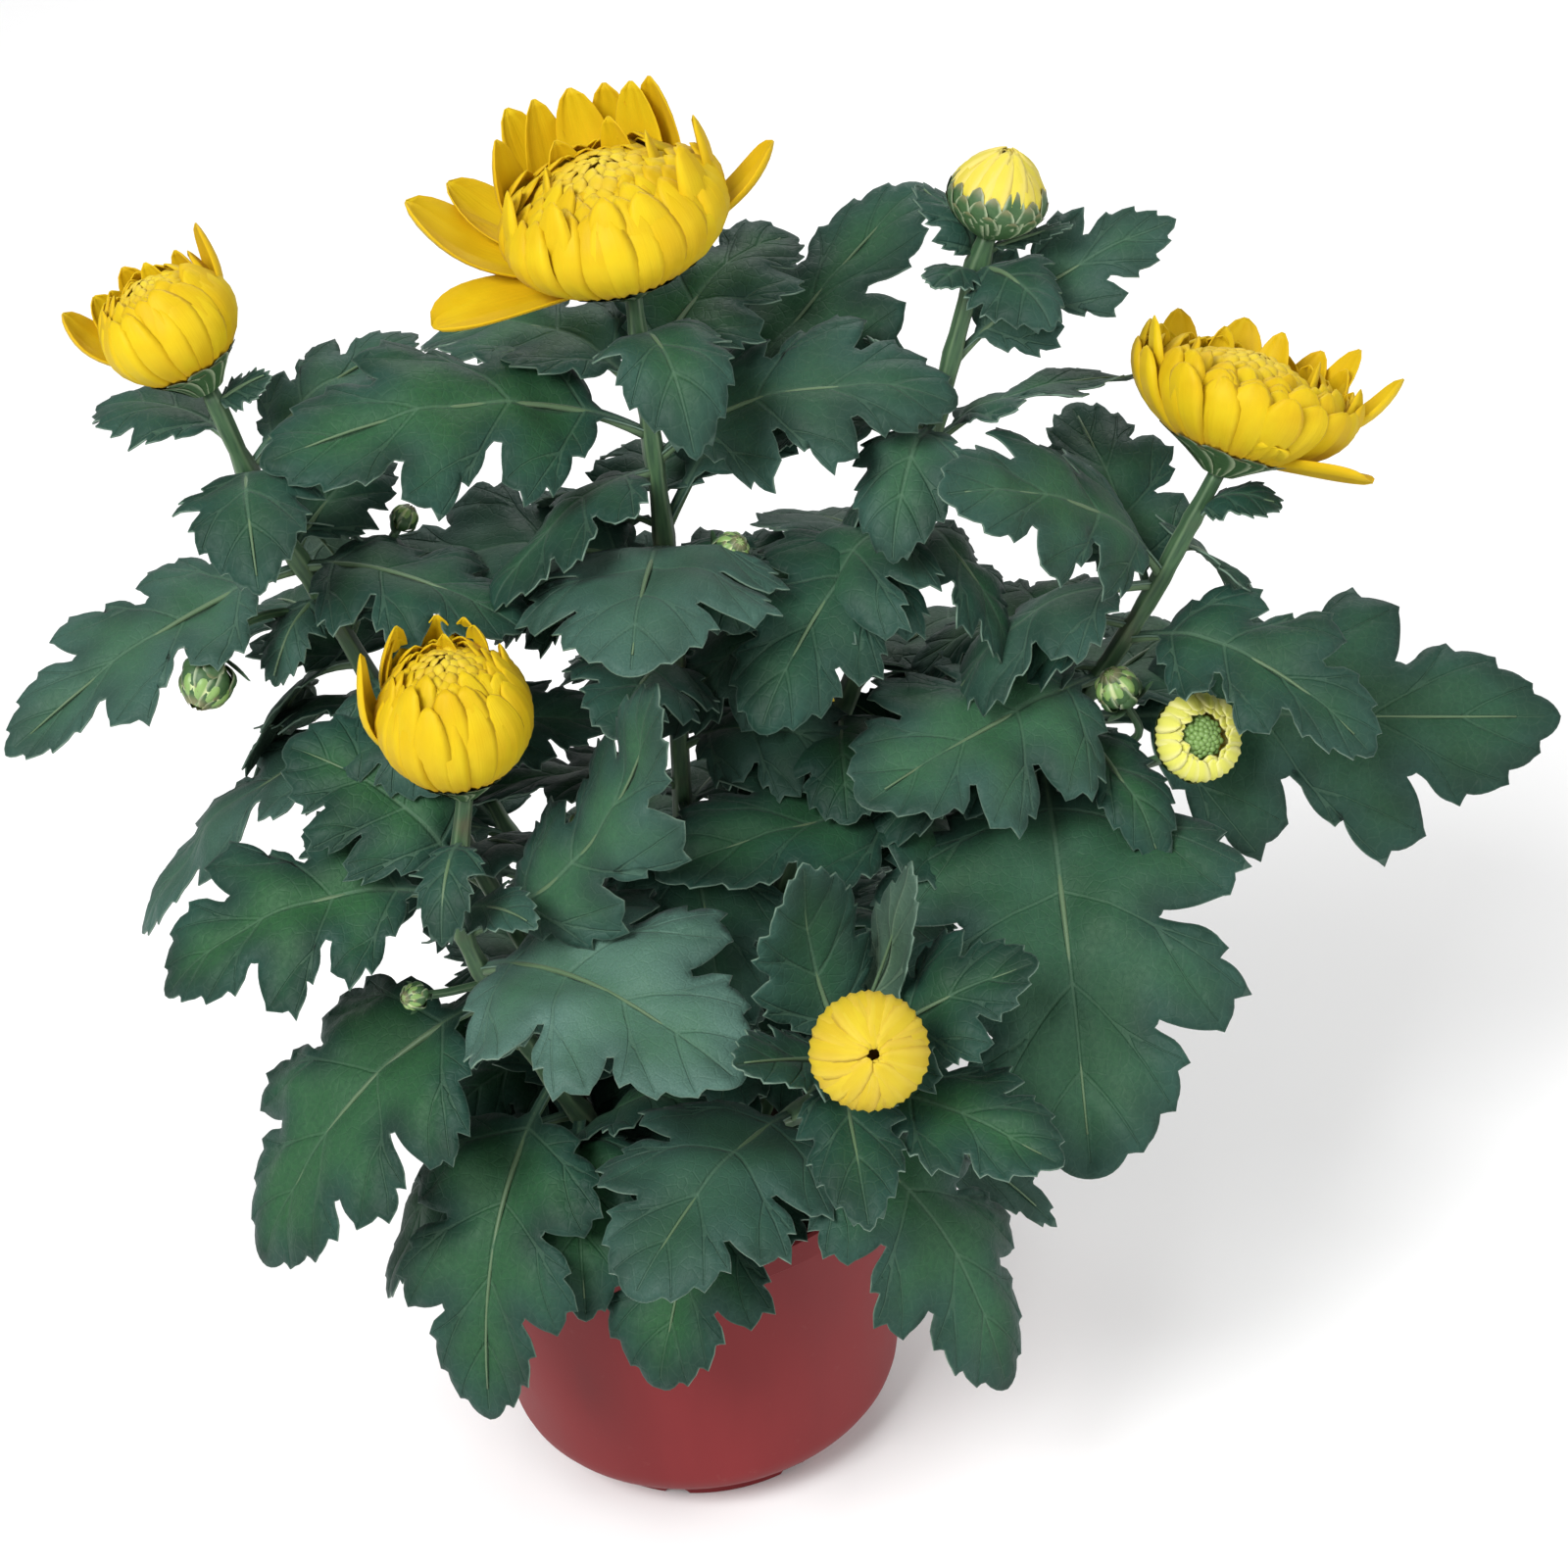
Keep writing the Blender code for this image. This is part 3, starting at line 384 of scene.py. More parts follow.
# Petals that hang loose: azimuth, radius and height of the belly, radius and height of the tip,
# and width
LOOSE_PETALS = {
    "bloom_top": (
        (176, 40, 8, 51, 33, 21), (156, 34, 9, 45, 29, 17), (203, 38, 4, 54, 9, 21),
        (10, 37, 9, 45, 25, 17), (128, 32, 12, 36, 41, 15), (100, 28, 16, 28, 43, 15),
        (66, 28, 14, 28, 42, 15),
    ),
    "bloom_left": (
        (172, 24, 11, 24, 29, 13), (144, 22, 12, 21, 27, 12), (32, 21, 12, 20, 33, 13),
    ),
    "bloom_right": (
        (2, 36, 12, 40, 34, 17), (32, 32, 12, 36, 36, 14), (-35, 34, 3, 42, 9, 18),
        (190, 30, 12, 32, 32, 14), (90, 28, 14, 30, 34, 14), (-76, 25, 4, 28, 11, 13),
    ),
    "bloom_lower_left": (
        (148, 24, 18, 14, 45, 12), (182, 27, 14, 21, 43, 12), (52, 17, 28, 13, 41, 9),
    ),
    "bloom_back_right": ((110, 28, 6, 38, 22, 14), (50, 26, 8, 34, 30, 13)),
}

# Rings of petals of each head, from the outside in: how wide its belly is and how far out its
# tips end, as shares of the head's radius, and how high they end as a share of its height.
HEAD_LAYERS = {
    "bloom_top": ((1.0, 0.68, 0.92), (0.95, 0.56, 0.98), (0.88, 0.38, 1.01)),
    "bloom_left": ((1.0, 0.62, 0.96), (0.94, 0.52, 1.02), (0.86, 0.40, 1.04)),
    "bloom_right": ((1.0, 1.00, 0.90), (0.95, 0.86, 0.98), (0.90, 0.66, 1.02)),
    "bloom_lower_left": ((1.0, 0.60, 0.94), (0.94, 0.50, 1.00), (0.86, 0.38, 1.02)),
    "bud_front": ((1.0, 0.09, 0.99), (0.95, 0.07, 1.0)),
    "bud_right_back": ((1.0, 0.16, 0.99), (0.95, 0.10, 1.02)),
    "bud_opening_right": ((1.0, 0.52, 0.90), (0.95, 0.44, 0.88)),
    "bloom_back_right": ((1.0, 0.62, 0.94), (0.94, 0.52, 1.0), (0.86, 0.40, 1.02)),
    "bud_back_left": ((1.0, 0.16, 0.99), (0.95, 0.10, 1.02)),
}
CENTRE_PETALS = 64
CENTRE_REACH = 0.60
DISC_KNOBS = 55

# Bracts below each head: number in a row, and how far they reach up the outer petals' curve
BRACTS = {
    "bloom": (10, 0.25), "bud_front": (9, 0.20), "bud_right_back": (14, 0.70),
    "bud_back_left": (14, 0.66), "bud_opening_right": (10, 0.50),
}

# Heads that are still closed, those of them with a flat bottom, and those open on a green disc
TIGHT_BUDS = ("bud_front", "bud_right_back", "bud_back_left")
FLAT_BUDS = ("bud_right_back", "bud_back_left")
OPENING_BUDS = ("bud_opening_right",)
YOUNG = {"bud_opening_right": 0.95, "bud_right_back": 0.5, "bud_back_left": 0.5, "bud_front": 0.15}

# Second knot of the outer petals' curve, as shares of a head's radius and height
FLAT_BOTTOM = (1.16, -0.01)
ROUND_BOTTOM = (0.86, 0.17)


# Plain skins: flat display colour, coordinates, scale and detail of the noise between two colours,
# layers over them (point value, its span, shares at its ends and colour), roughness, strength and
# depth of the bump, and constants.  They are a blade's edge in painted highlight, green scales with
# papery edges, the striped top of a green bud, the imported inside of a head and pale mineral grains.
SKINS = {
    # Painted highlight: the pale edge faces of the blades
    "leaf_rim_highlight": ((0.2, 0.28, 0.2), "UV", 0.3, 3.0, (0.05, 0.11, 0.075), (0.16, 0.24, 0.18), (),
                 0.5, None, {}),
    "bud_scale": ((0.2, 0.3, 0.1), "UV", 0.5, 3.0, (0.022, 0.066, 0.024), (0.055, 0.125, 0.040), (
        ("across", 0.60, 0.97, 0.0, 0.75, (0.36, 0.43, 0.27)),
        ("along", 0.82, 1.0, 0.0, 0.6, (0.26, 0.22, 0.11))),
        0.5, (0.3, 0.2), {"Specular_IOR_Level": 0.4}),
    "bud_green": ((0.3, 0.4, 0.15), "UV", 3.0, 3.0, (0.14, 0.27, 0.07), (0.26, 0.40, 0.12), (
        ("ridge", 0.0, 0.5, 0.8, 0.0, (0.60, 0.64, 0.34)),), 0.45, (0.3, 0.3), {}),
    "petal_core": ((0.7, 0.35, 0.0), "UV", 3.0, 3.0, (0.62, 0.27, 0.004), (0.80, 0.46, 0.006), (),
                   0.6, (0.4, 0.5), {}),
    "mix_grain": ((0.6, 0.58, 0.52), "Object", 900.0, 4.0, (0.42, 0.38, 0.32),
                  (0.74, 0.72, 0.66), (), 0.85, (0.5, 0.3), {}),
}

# Leaf skins: name, colours of the edge, of the dark patches, of the middle, of the painted grey sheen
# and of the veins, strength of the veins and height of the relief
LEAF_TOP = ("leaf_top", (0.014, 0.056, 0.040), (0.008, 0.032, 0.020), (0.024, 0.100, 0.034),
            (0.100, 0.195, 0.160), (0.105, 0.19, 0.12), 0.40, 1.0)
LEAF_UNDER = ("leaf_under", (0.055, 0.105, 0.075), (0.040, 0.082, 0.055), (0.060, 0.125, 0.065),
              (0.12, 0.18, 0.15), (0.19, 0.28, 0.18), 0.6, -1.0)


# Meshes

def patch(verts, faces, slot=0, uv=None, **values):
    """A piece of surface: points in millimetres, faces, material slot, UV and point values."""
    verts = np.asarray(verts, float)
    uv = np.zeros((len(verts), 2)) if uv is None else np.asarray(uv, float)
    full = {key: np.broadcast_to(np.asarray(value, float), len(verts))
            for key, value in values.items()}
    return {"verts": verts, "faces": faces, "slot": slot, "uv": uv, "values": full}


def add_object(name, data):
    """A new object in the scene."""
    obj = bpy.data.objects.new(name, data)
    bpy.context.scene.collection.objects.link(obj)
    return obj


def assemble(name, patches, materials):
    """One mesh object from many patches, with their UV and point values."""
    faces, slots, start = [], [], 0
    for part in patches:
        faces += [[corner + start for corner in face] for face in part["faces"]]
        slots += [part["slot"]] * len(part["faces"])
        start += len(part["verts"])
    mesh = bpy.data.meshes.new(name)
    mesh.from_pydata(np.concatenate([part["verts"] for part in patches]) * MM, [], faces)
    mesh.polygons.foreach_set("material_index", slots)
    mesh.polygons.foreach_set("use_smooth", [True] * len(faces))
    corners = np.zeros(len(mesh.loops), dtype=np.int32)
    mesh.loops.foreach_get("vertex_index", corners)
    layer = mesh.uv_layers.new(name="UVMap")
    uv = np.concatenate([part["uv"] for part in patches])
    layer.data.foreach_set("uv", uv[corners].ravel())
    for key in sorted({key for part in patches for key in part["values"]}):
        value = np.concatenate([part["values"].get(key, np.zeros(len(part["verts"])))
                                for part in patches])
        mesh.attributes.new(key, "FLOAT", "POINT").data.foreach_set("value", value)
    for material in materials:
        mesh.materials.append(material)
    return add_object(name, mesh)


def thicken(obj, thickness, under=0, rim=0):
    """Give a sheet its thickness, with other materials below it and on its rim if asked."""
    solidify = obj.modifiers.new("thickness", "SOLIDIFY")
    solidify.thickness = thickness * MM
    solidify.offset = 0.0
    solidify.material_offset = under
    solidify.material_offset_rim = rim
    return obj


def grid_faces(rows, columns, closed=False):
    """Faces of a grid of points, row by row, joined round if it is closed."""
    faces = []
    for low in range(0, (rows - 1) * columns, columns):
        high = low + columns
        for column in range(columns if closed else columns - 1):
            after = (column + 1) % columns
            faces.append((low + column, low + after, high + after, high + column))
    return faces


def barrel_faces(rows, sides):
    """Faces of a closed grid with a cap on each end."""
    last = (rows - 1) * sides
    return [*grid_faces(rows, sides, closed=True), tuple(range(sides))[::-1],
            tuple(range(last, last + sides))]


def unit(vectors):
    """Vectors of length 1."""
    return vectors / np.linalg.norm(vectors, axis=-1, keepdims=True)


def smooth_route(points, per_span=6):
    """Points along a curve that passes through every given point."""
    points = np.asarray(points, float)
    padded = np.vstack([2 * points[0] - points[1], points, 2 * points[-1] - points[-2]])
    made = []
    for index in range(len(points) - 1):
        a, b, c, d = padded[index:index + 4]
        for t in np.arange(per_span) / per_span:
            made.append(0.5 * (2 * b + (c - a) * t + (2 * a - 5 * b + 4 * c - d) * t * t
                               + (3 * b - a - 3 * c + d) * t ** 3))
    return np.array(made + [points[-1]])


def tube_patch(route, radii, sides, slot, ribs=0, rib_depth=0.0, **values):
    """A tube along a route with a radius at each of its points, ribbed lengthwise if asked."""
    route = np.asarray(route, float)
    radii = np.broadcast_to(np.asarray(radii, float), len(route))
    tangents = unit(np.gradient(route, axis=0))
    side = unit(np.cross(tangents[0], (0.3, 1.0, 0.1)))
    angles = np.arange(sides) / sides * math.tau
    swell = 1 + rib_depth * np.cos(angles * ribs)
    rings, uv, length = [], [], 0.0
    for index, (point, tangent) in enumerate(zip(route, tangents)):
        side = unit(side - tangent * side.dot(tangent))
        up = np.cross(tangent, side)
        turned = np.outer(np.cos(angles), side) + np.outer(np.sin(angles), up)
        rings.append(point + turned * (radii[index] * swell)[:, None])
        length += np.linalg.norm(point - route[max(0, index - 1)])
        uv.append(np.column_stack([angles * 2.5, np.full(sides, length)]))
    ridge = np.tile(0.5 + 0.5 * np.cos(angles * ribs), len(route))
    return patch(np.vstack(rings), barrel_faces(len(route), sides), slot, np.vstack(uv),
                 ridge=ridge, **values)


# Leaves

def side_points(kind, length, width, side, rng):
    """The points of one edge of a blade, each lobe a little off its place, and their kinds."""
    points, kinds = [], []
    shift, spread = 0.0, 1.0
    for (along, out), what in zip(LEAF_EDGES[kind], EDGE_KINDS[kind]):
        if what == "cut" and kinds[-1] != "cut":
            shift, spread = rng.uniform(-0.010, 0.010), rng.uniform(0.90, 1.06)
        points.append(((along + shift) * length, side * out * spread * width / 2))
        kinds.append(what)
    return np.array(points + [(length, 0.0)]), kinds + ["tooth"]


def quadratic(start, control, end, t):
    """Points of a quadratic curve."""
    return start * (1 - t) ** 2 + control * 2 * t * (1 - t) + end * t ** 2


def arc(start, end, swell, steps):
    """Points of a shallow arc from a start up to its end, swelling to the left."""
    run = end - start
    control = (start + end) / 2 + np.array((-run[1], run[0])) * swell * 2
    return quadratic(start, control, end, (np.arange(steps) / steps)[:, None])


def edge_line(points, kinds, side):
    """One edge as a fine line: rounded lobes, deep cuts and small pointed teeth."""
    flip = np.array((1.0, side))
    points = points * flip
    line = []
    for index, (start, end) in enumerate(zip(points, points[1:])):
        swell = 0.0 if index == 0 else EDGE_SWELL[kinds[index + 1]]
        steps = max(2, int(np.linalg.norm(end - start) / (BLADE_GRID * 0.8)))
        bend = arc(start, end, swell, steps)
        if kinds[index] == "tooth":
            outward = unit(unit(start - line[-1]) + unit(start - bend[1]))
            bend[0] += outward * TOOTH_TIP
        line += list(bend)
    line.append(points[-1] + (TOOTH_TIP, 0.0))
    return np.array(line) * flip


def curve(start, end, along, out, steps):
    """A vein that leaves along its carrier and bends towards its end."""
    control = start + (end - start) * (along, out)
    return quadratic(start, control, end, np.linspace(0, 1, steps)[:, None])


def vein_lines(kind, teeth, length):
    """Midrib, side veins and branches as lines in the flat blade, with their half widths."""
    lines = [(np.column_stack([np.linspace(0, 0.97, 30) * length, np.zeros(30)]), 0.80, 0.22)]
    for side in teeth:
        for root_share, target, branches in LEAF_VEINS[kind]:
            root = np.array((root_share * length, 0.0))
            line = curve(root, root + (side[target] - root) * 0.95, 0.40, 0.56, 9)
            lines.append((line, 0.42, 0.14))
            for share, goal in branches:
                start = line[int(share * (len(line) - 1))]
                end = start + (side[goal] - start) * 0.92
                lines.append((curve(start, end, 0.60, 0.45, 5), 0.22, 0.10))
    return lines


def line_distance(points, line, widths=None):
    """Distance of each point to a line, over the line's half width there if widths are given."""
    starts, runs = line[:-1], np.diff(line, axis=0)
    rel = points[:, None, :] - starts[None]
    share = np.clip((rel * runs).sum(2) / (runs * runs).sum(1), 0, 1)
    gap = np.linalg.norm(rel - share[..., None] * runs, axis=2)
    if widths is not None:
        gap = gap / (widths[:-1] + share * np.diff(widths))
    return gap.min(1)


def inside(points, ring):
    """Whether each flat point lies inside a ring."""
    x, y = points[:, :1], points[:, 1:]
    x0, y0 = ring.T
    x1, y1 = np.roll(ring, -1, axis=0).T
    step = np.where(y1 == y0, 1e-9, y1 - y0)
    crossed = ((y0 > y) != (y1 > y)) & (x < x0 + (y - y0) / step * (x1 - x0))
    return crossed.sum(1) % 2 == 1


def clear_points(points, ring, veins, edge_gap, vein_gap):
    """Those points inside a ring that keep off its edge and off the veins."""
    points = points[inside(points, ring)]
    clear = line_distance(points, np.vstack([ring, ring[:1]])) > edge_gap
    for line, _, _ in veins:
        clear &= line_distance(points, line) > vein_gap
    return points[clear]


def vein_flanks(veins):
    """Points close to each vein on both sides."""
    made = []
    for line, _, _ in veins:
        run = unit(np.gradient(line, axis=0))
        across = np.column_stack([-run[:, 1], run[:, 0]]) * FLANK
        made += [line + across, line - across]
    return np.vstack(made)


def flat_grid(length, width, step):
    """An even grid of points that covers a blade."""
    x = np.arange(0, length, step)
    y = np.arange(-width * 0.6, width * 0.6, step * 0.87)
    grid = np.stack(np.meshgrid(x, y, indexing="ij"), -1)
    grid[:, ::2, 0] += step / 2
    return grid.reshape(-1, 2)


def flat_blade(kind, length, width, step, rng):
    """The flat blade as a mesh that follows its edge and veins."""
    edges, teeth = [], []
    for side in (-1, 1):
        points, kinds = side_points(kind, length, width, side, rng)
        teeth.append(points[[what == "tooth" for what in kinds]])
        edges.append(edge_line(points, kinds, side))
    ring = np.vstack([edges[0], edges[1][-2::-1]])
    veins = vein_lines(kind, teeth, length)
    flat = [ring, clear_points(vein_flanks(veins), ring, veins, FLANK * 0.6, FLANK * 0.75),
            clear_points(flat_grid(length, width, step), ring, veins, step * 0.55,
                         FLANK + step * 0.40)]
    links = [(index, (index + 1) % len(ring)) for index in range(len(ring))]
    for line, _, _ in veins:
        kept, start = line[inside(line, ring)], sum(len(block) for block in flat)
        links += [(start + index, start + index + 1) for index in range(len(kept) - 1)]
        flat.append(kept)
    points = [Vector(point) for point in np.vstack(flat)]
    verts, _, faces, _, _, _ = delaunay_2d_cdt(points, links, [], 0, 0.0001, False)
    verts = np.array([tuple(vert) for vert in verts])
    faces = np.array([face for face in faces if len(face) == 3])
    faces = faces[inside(verts[faces].mean(1), ring)]
    gaps = [line_distance(verts, line, np.linspace(thick, thin, len(line)))
            for line, thick, thin in veins]
    edge = line_distance(verts, np.vstack([ring, ring[:1]]))
    return verts, faces[:, ::-1], gaps[0], np.min(gaps[1:], axis=0), edge


def leaf_frame(base, tip, arch, roll, share):
    """Points along a bent midrib with the blade's side and upward directions there."""
    chord = tip - base
    span = np.linalg.norm(chord)
    outward = np.array((base[0] + tip[0], base[1] + tip[1], 0.0))
    outward = unit(outward) if np.linalg.norm(outward) > 1.0 else np.array((0, -1.0, 0))
    level = np.array((chord[0], chord[1], 0.0))
    if np.linalg.norm(level) > 0.3 * span:
        outward = unit(level)
    axis = chord / span
    up = np.array((0, 0, 1.0)) + 0.7 * outward
    up = unit(up - axis * up.dot(axis))
    bend = base * 0.58 + tip * 0.42 + up * (2 * arch * span)
    s = share[:, None]
    point = quadratic(base, bend, tip, s)
    tangent = unit((bend - base) * (1 - s) + (tip - bend) * s)
    side = unit(np.cross(tangent, up))
    turn = np.radians(roll) * np.clip(s / 0.25, 0, 1)
    side = side * np.cos(turn) + np.cross(tangent, side) * np.sin(turn)
    return point, side, np.cross(side, tangent)


def blade_lift(verts, share, width, vein, edge, rng, own):
    """How high each point of a blade stands: folded, curled, wavy, quilted and uneven."""
    fold, curl = rng.uniform(0.06, 0.24), rng.uniform(0.16, 0.40)
    wave, phase = rng.uniform(0.8, 2.2) * width / 50, rng.uniform(0.0, math.tau)
    drift = Vector((own.uniform(0, 99), own.uniform(0, 99), 0))
    across = verts[:, 1]
    out = np.abs(across) / (width / 2)
    lift = fold * np.abs(across) - curl * width * 0.5 * out ** 2
    lift += wave * out ** 2 * np.sin(share * 14.0 + phase + np.where(across > 0, 1.6, 0.0))
    blade = np.clip((share - 0.16) / 0.1, 0, 1)
    lift += blade * QUILT * (1 - np.exp(-(vein / QUILT_WIDTH) ** 2))
    lift -= blade * EDGE_ROLL * np.exp(-edge / EDGE_WIDTH)
    uneven = [noise.noise(Vector((x, y, 0)) * 0.055 + drift) for x, y in verts]
    ripple = [noise.noise(Vector((x, y, 7)) * 0.15 + drift) for x, y in verts]
    return lift + blade * (np.array(uneven) * UNEVEN
                           + np.array(ripple) * RIPPLE * np.clip(out, 0, 1))


def leaf_patches(name, base, leaf, step, rng):
    """One leaf: its veined blade and the rounded stalk and midrib below it."""
    _, tip, width, arch, roll, kind = leaf
    base, tip = np.asarray(base, float), np.asarray(tip, float)
    length = np.linalg.norm(tip - base)
    verts, faces, midrib, vein, edge = flat_blade(kind, length, width, step, rng)
    own, share = random.Random(name), verts[:, 0] / length
    lift = blade_lift(verts, share, width, np.minimum(midrib, vein), edge, rng, own)
    point, side, normal = leaf_frame(base, tip, arch, roll, np.minimum(share, 1.0))
    point = point + side * verts[:, 1:] + normal * lift[:, None]
    tint = own.random()
    # Painted grey sheen: the share listed for this leaf, else a small share by chance
    silver = PAINTED_SHEEN.get(name, own.random() ** 2 * PAINTED_SHEEN_MOST)
    uv = verts + (own.uniform(0, 900), own.uniform(0, 900))
    sheet = patch(point, faces.tolist(), 0, uv, vein=vein, midrib=midrib, rim=edge, tint=tint,
                  silver=silver, along=share)
    steps = np.linspace(0, 0.92, 16)
    line, _, below = leaf_frame(base, tip, arch, roll, steps)
    radii = np.interp(steps, (0, 0.14, 0.3, 0.92), (1.5, 1.15, 0.75, 0.25)) * (0.75 + width / 240)
    stalk = tube_patch(line - below * (radii * 0.75)[:, None], radii, 8, 0, tint=tint)
    return sheet, stalk


def inner_leaves(knots, rng):
    """Smaller leaves in a spiral up the stem, kept deep inside the plant."""
    made = []
    azimuth = rng.uniform(0, math.tau)
    top = min(knots[-1][2] - INNER_CROWN, INNER_TOP)
    for height in np.arange(MIX_LEVEL + INNER_FOOT, top, INNER_STEP):
        azimuth += GOLDEN_ANGLE
        base = stem_point(knots, height)
        reach = rng.uniform(46, 66)
        tip = base + (math.cos(azimuth) * reach, math.sin(azimuth) * reach, rng.uniform(-16, 14))
        rel = (tip - INNER_MIDDLE) / INNER_REACH
        far = np.linalg.norm(rel)
        if far > 1.0:
            tip = INNER_MIDDLE + rel / far * INNER_REACH
        if np.linalg.norm(tip - base) < INNER_SHORTEST or base[1] < INNER_FRONT:
            continue
        made.append((height, tuple(tip), rng.uniform(40, 54), rng.uniform(0.08, 0.2),
                     rng.uniform(-20, 20), "broad"))
    return made


# Stems

def stem_point(route, height):
    """Where a stem's centre line is at a height."""
    route = np.asarray(route, float)
    return np.array([np.interp(height, route[:, 2], route[:, axis]) for axis in range(3)])


def axis_turn(axis):
    """Rotation from +Z to an axis that keeps +X as near to the world's as it goes."""
    up = unit(np.asarray(axis, float))
    right = unit(np.array((1.0, 0, 0)) - up * up[0])
    return np.column_stack([right, np.cross(up, right), up])


def azimuths(count, phase, wobble, rng):
    """Directions round a ring, each a little off its place."""
    for index in range(count):
        yield math.tau * (index + phase) / count + rng.uniform(-wobble, wobble)


def bezier(knots, t):
    """Points of a cubic curve."""
    t = np.asarray(t)[:, None]
    a, b, c, d = (np.asarray(knot, float) for knot in knots)
    return a * (1 - t) ** 3 + b * 3 * t * (1 - t) ** 2 + c * 3 * t * t * (1 - t) + d * t ** 3


def petal_patch(place, turn, azimuth, route, width, slot, rng, cup=0.30, blunt=0.70, root=0.34,
                rows=PETAL_ROWS, columns=PETAL_COLUMNS, groove=0.45, lean=0.0, shingle=0.14,
                fullness=2.0, young=0.0):
    """One petal along a curve in the plane through the axis, cupped inwards and grooved."""
    t = 1 - (1 - np.linspace(0, 1, rows)) ** 1.35
    centre = bezier(route, t)
    slope = unit(np.gradient(centre, axis=0))
    past = np.clip((t - blunt) / (1 - blunt), 0, 1)
    spread = root + (1 - root) * np.sin(np.clip(t / blunt, 0, 1) * math.pi / 2) ** 0.9
    half = width / 2 * spread * np.sqrt(np.clip(1 - past ** fullness, 0.006, 1))
    v = np.linspace(-1, 1, columns)
    wide = half[:, None]
    dip = -cup * wide * v ** 2 + shingle * wide * v
    dip = dip + groove * np.cos(v * 3 * math.pi) * np.clip(wide / 6, 0, 1)
    radial = centre[:, :1] + slope[:, 1:] * dip
    rise = centre[:, 1:] - slope[:, :1] * dip
    aside = wide * v * (1 - 0.12 * cup) + lean * (t ** 2)[:, None]
    cos, sin = math.cos(azimuth), math.sin(azimuth)
    local = np.stack([radial * cos - aside * sin, radial * sin + aside * cos, rise], -1)
    verts = place + local.reshape(-1, 3) @ turn.T
    shape = (rows, columns)
    uv = np.stack([np.broadcast_to(v * width / 2, shape),
                   np.broadcast_to((t * 30)[:, None], shape)], -1).reshape(-1, 2)
    return patch(verts, grid_faces(rows, columns), slot,
                 uv + (rng.uniform(0, 500), rng.uniform(0, 500)), along=np.repeat(t, columns),
                 across=np.tile(np.abs(v), rows), tint=rng.random(), young=young)


def ball_patch(place, axis, radius, height, slot, ribs=0, depth=0.0, rings=14, **values):
    """A ball on a flat base, raised in ribs that run from its base to its top."""
    sides = max(24, ribs * 6)
    polar = np.linspace(math.acos(-BALL_CUT), 0.02, rings)
    azimuth = np.arange(sides) / sides * math.tau
    swell = radius * (1.0 + depth * np.cos(azimuth * ribs))
    rise = np.cos(polar)
    below = BALL_MIDDLE * np.clip(1 + rise / BALL_CUT, 0, 1) ** BALL_TAPER
    rise = np.where(rise < 0, below, BALL_MIDDLE + rise * (1 - BALL_MIDDLE))
    flat = np.sin(polar)[:, None] * swell
    local = np.stack([flat * np.cos(azimuth), flat * np.sin(azimuth),
                      np.broadcast_to(rise[:, None] * height, flat.shape)], -1).reshape(-1, 3)
    verts = np.asarray(place, float) + local @ axis_turn(axis).T
    uv = np.stack(np.broadcast_arrays(azimuth * ribs / math.tau, rise[:, None]), -1).reshape(-1, 2)
    return patch(verts, barrel_faces(rings, sides), slot, uv, along=np.repeat(rise, sides),
                 ridge=np.tile(0.5 + 0.5 * np.cos(azimuth * ribs), rings), **values)


def green_bud_patches(end, axis, radius, rng):
    """A closed green bud: striped ball, overlapping scales and a few narrow leaves below it."""
    axis = unit(np.asarray(axis, float))
    place, turn, height = end - axis * 0.8, axis_turn(axis), radius * 1.9
    made = [ball_patch(place, axis, radius * 0.9, height * 0.93, 2, 9, 0.05, tint=0.3)]
    for row, (count, low, high) in enumerate(((5, 0.00, 0.52), (7, 0.10, 0.80), (8, 0.25, 0.98))):
        for azimuth in azimuths(count, 0.5 * row, 0.1, rng):
            reach = math.sqrt(max(0.0, 1 - (2 * high - 1) ** 2))
            route = ((radius * 0.35, height * low), (radius * 1.08, height * (low + 0.1)),
                     (radius * 1.12, height * (low + high) * 0.55),
                     (radius * max(0.16, reach * 0.9), height * high))
            made.append(petal_patch(place, turn, azimuth, route, radius * 0.85, 3, rng, cup=0.35,
                                    blunt=0.55, **BRACT_GRID))
    for azimuth in azimuths(3, 0.0, 0.3, rng):
        route = ((1.0, -1.5), (radius * 0.6, -1.5), (radius * 1.1, 0.5), (radius * 1.5, 2.5))
        made.append(petal_patch(place, turn, azimuth, route, radius * 0.5, 0, rng, cup=0.3,
                                blunt=0.4, rows=6, columns=5, groove=0.0))
    return made


def outer_route(name, layer=0):
    """The curve of a head's petals in one of its rings, from the calyx to their tips."""
    _, _, radius, height, *_ = FLOWERS[name]
    swell, close, rise = HEAD_LAYERS[name][layer]
    low, lift = FLAT_BOTTOM if name in FLAT_BUDS else ROUND_BOTTOM
    return ((radius * 0.22, height * 0.02), (radius * low * swell, height * lift),
            (radius * 1.14 * swell, height * 0.66 * rise), (radius * close, height * rise))


def curve_start(knots, share):
    """The first part of a cubic curve."""
    a, b, c, d = (np.asarray(knot, float) for knot in knots)
    ab, bc, cd = a + (b - a) * share, b + (c - b) * share, c + (d - c) * share
    abc, bcd = ab + (bc - ab) * share, bc + (cd - bc) * share
    return np.array([a, ab, abc, abc + (bcd - abc) * share])


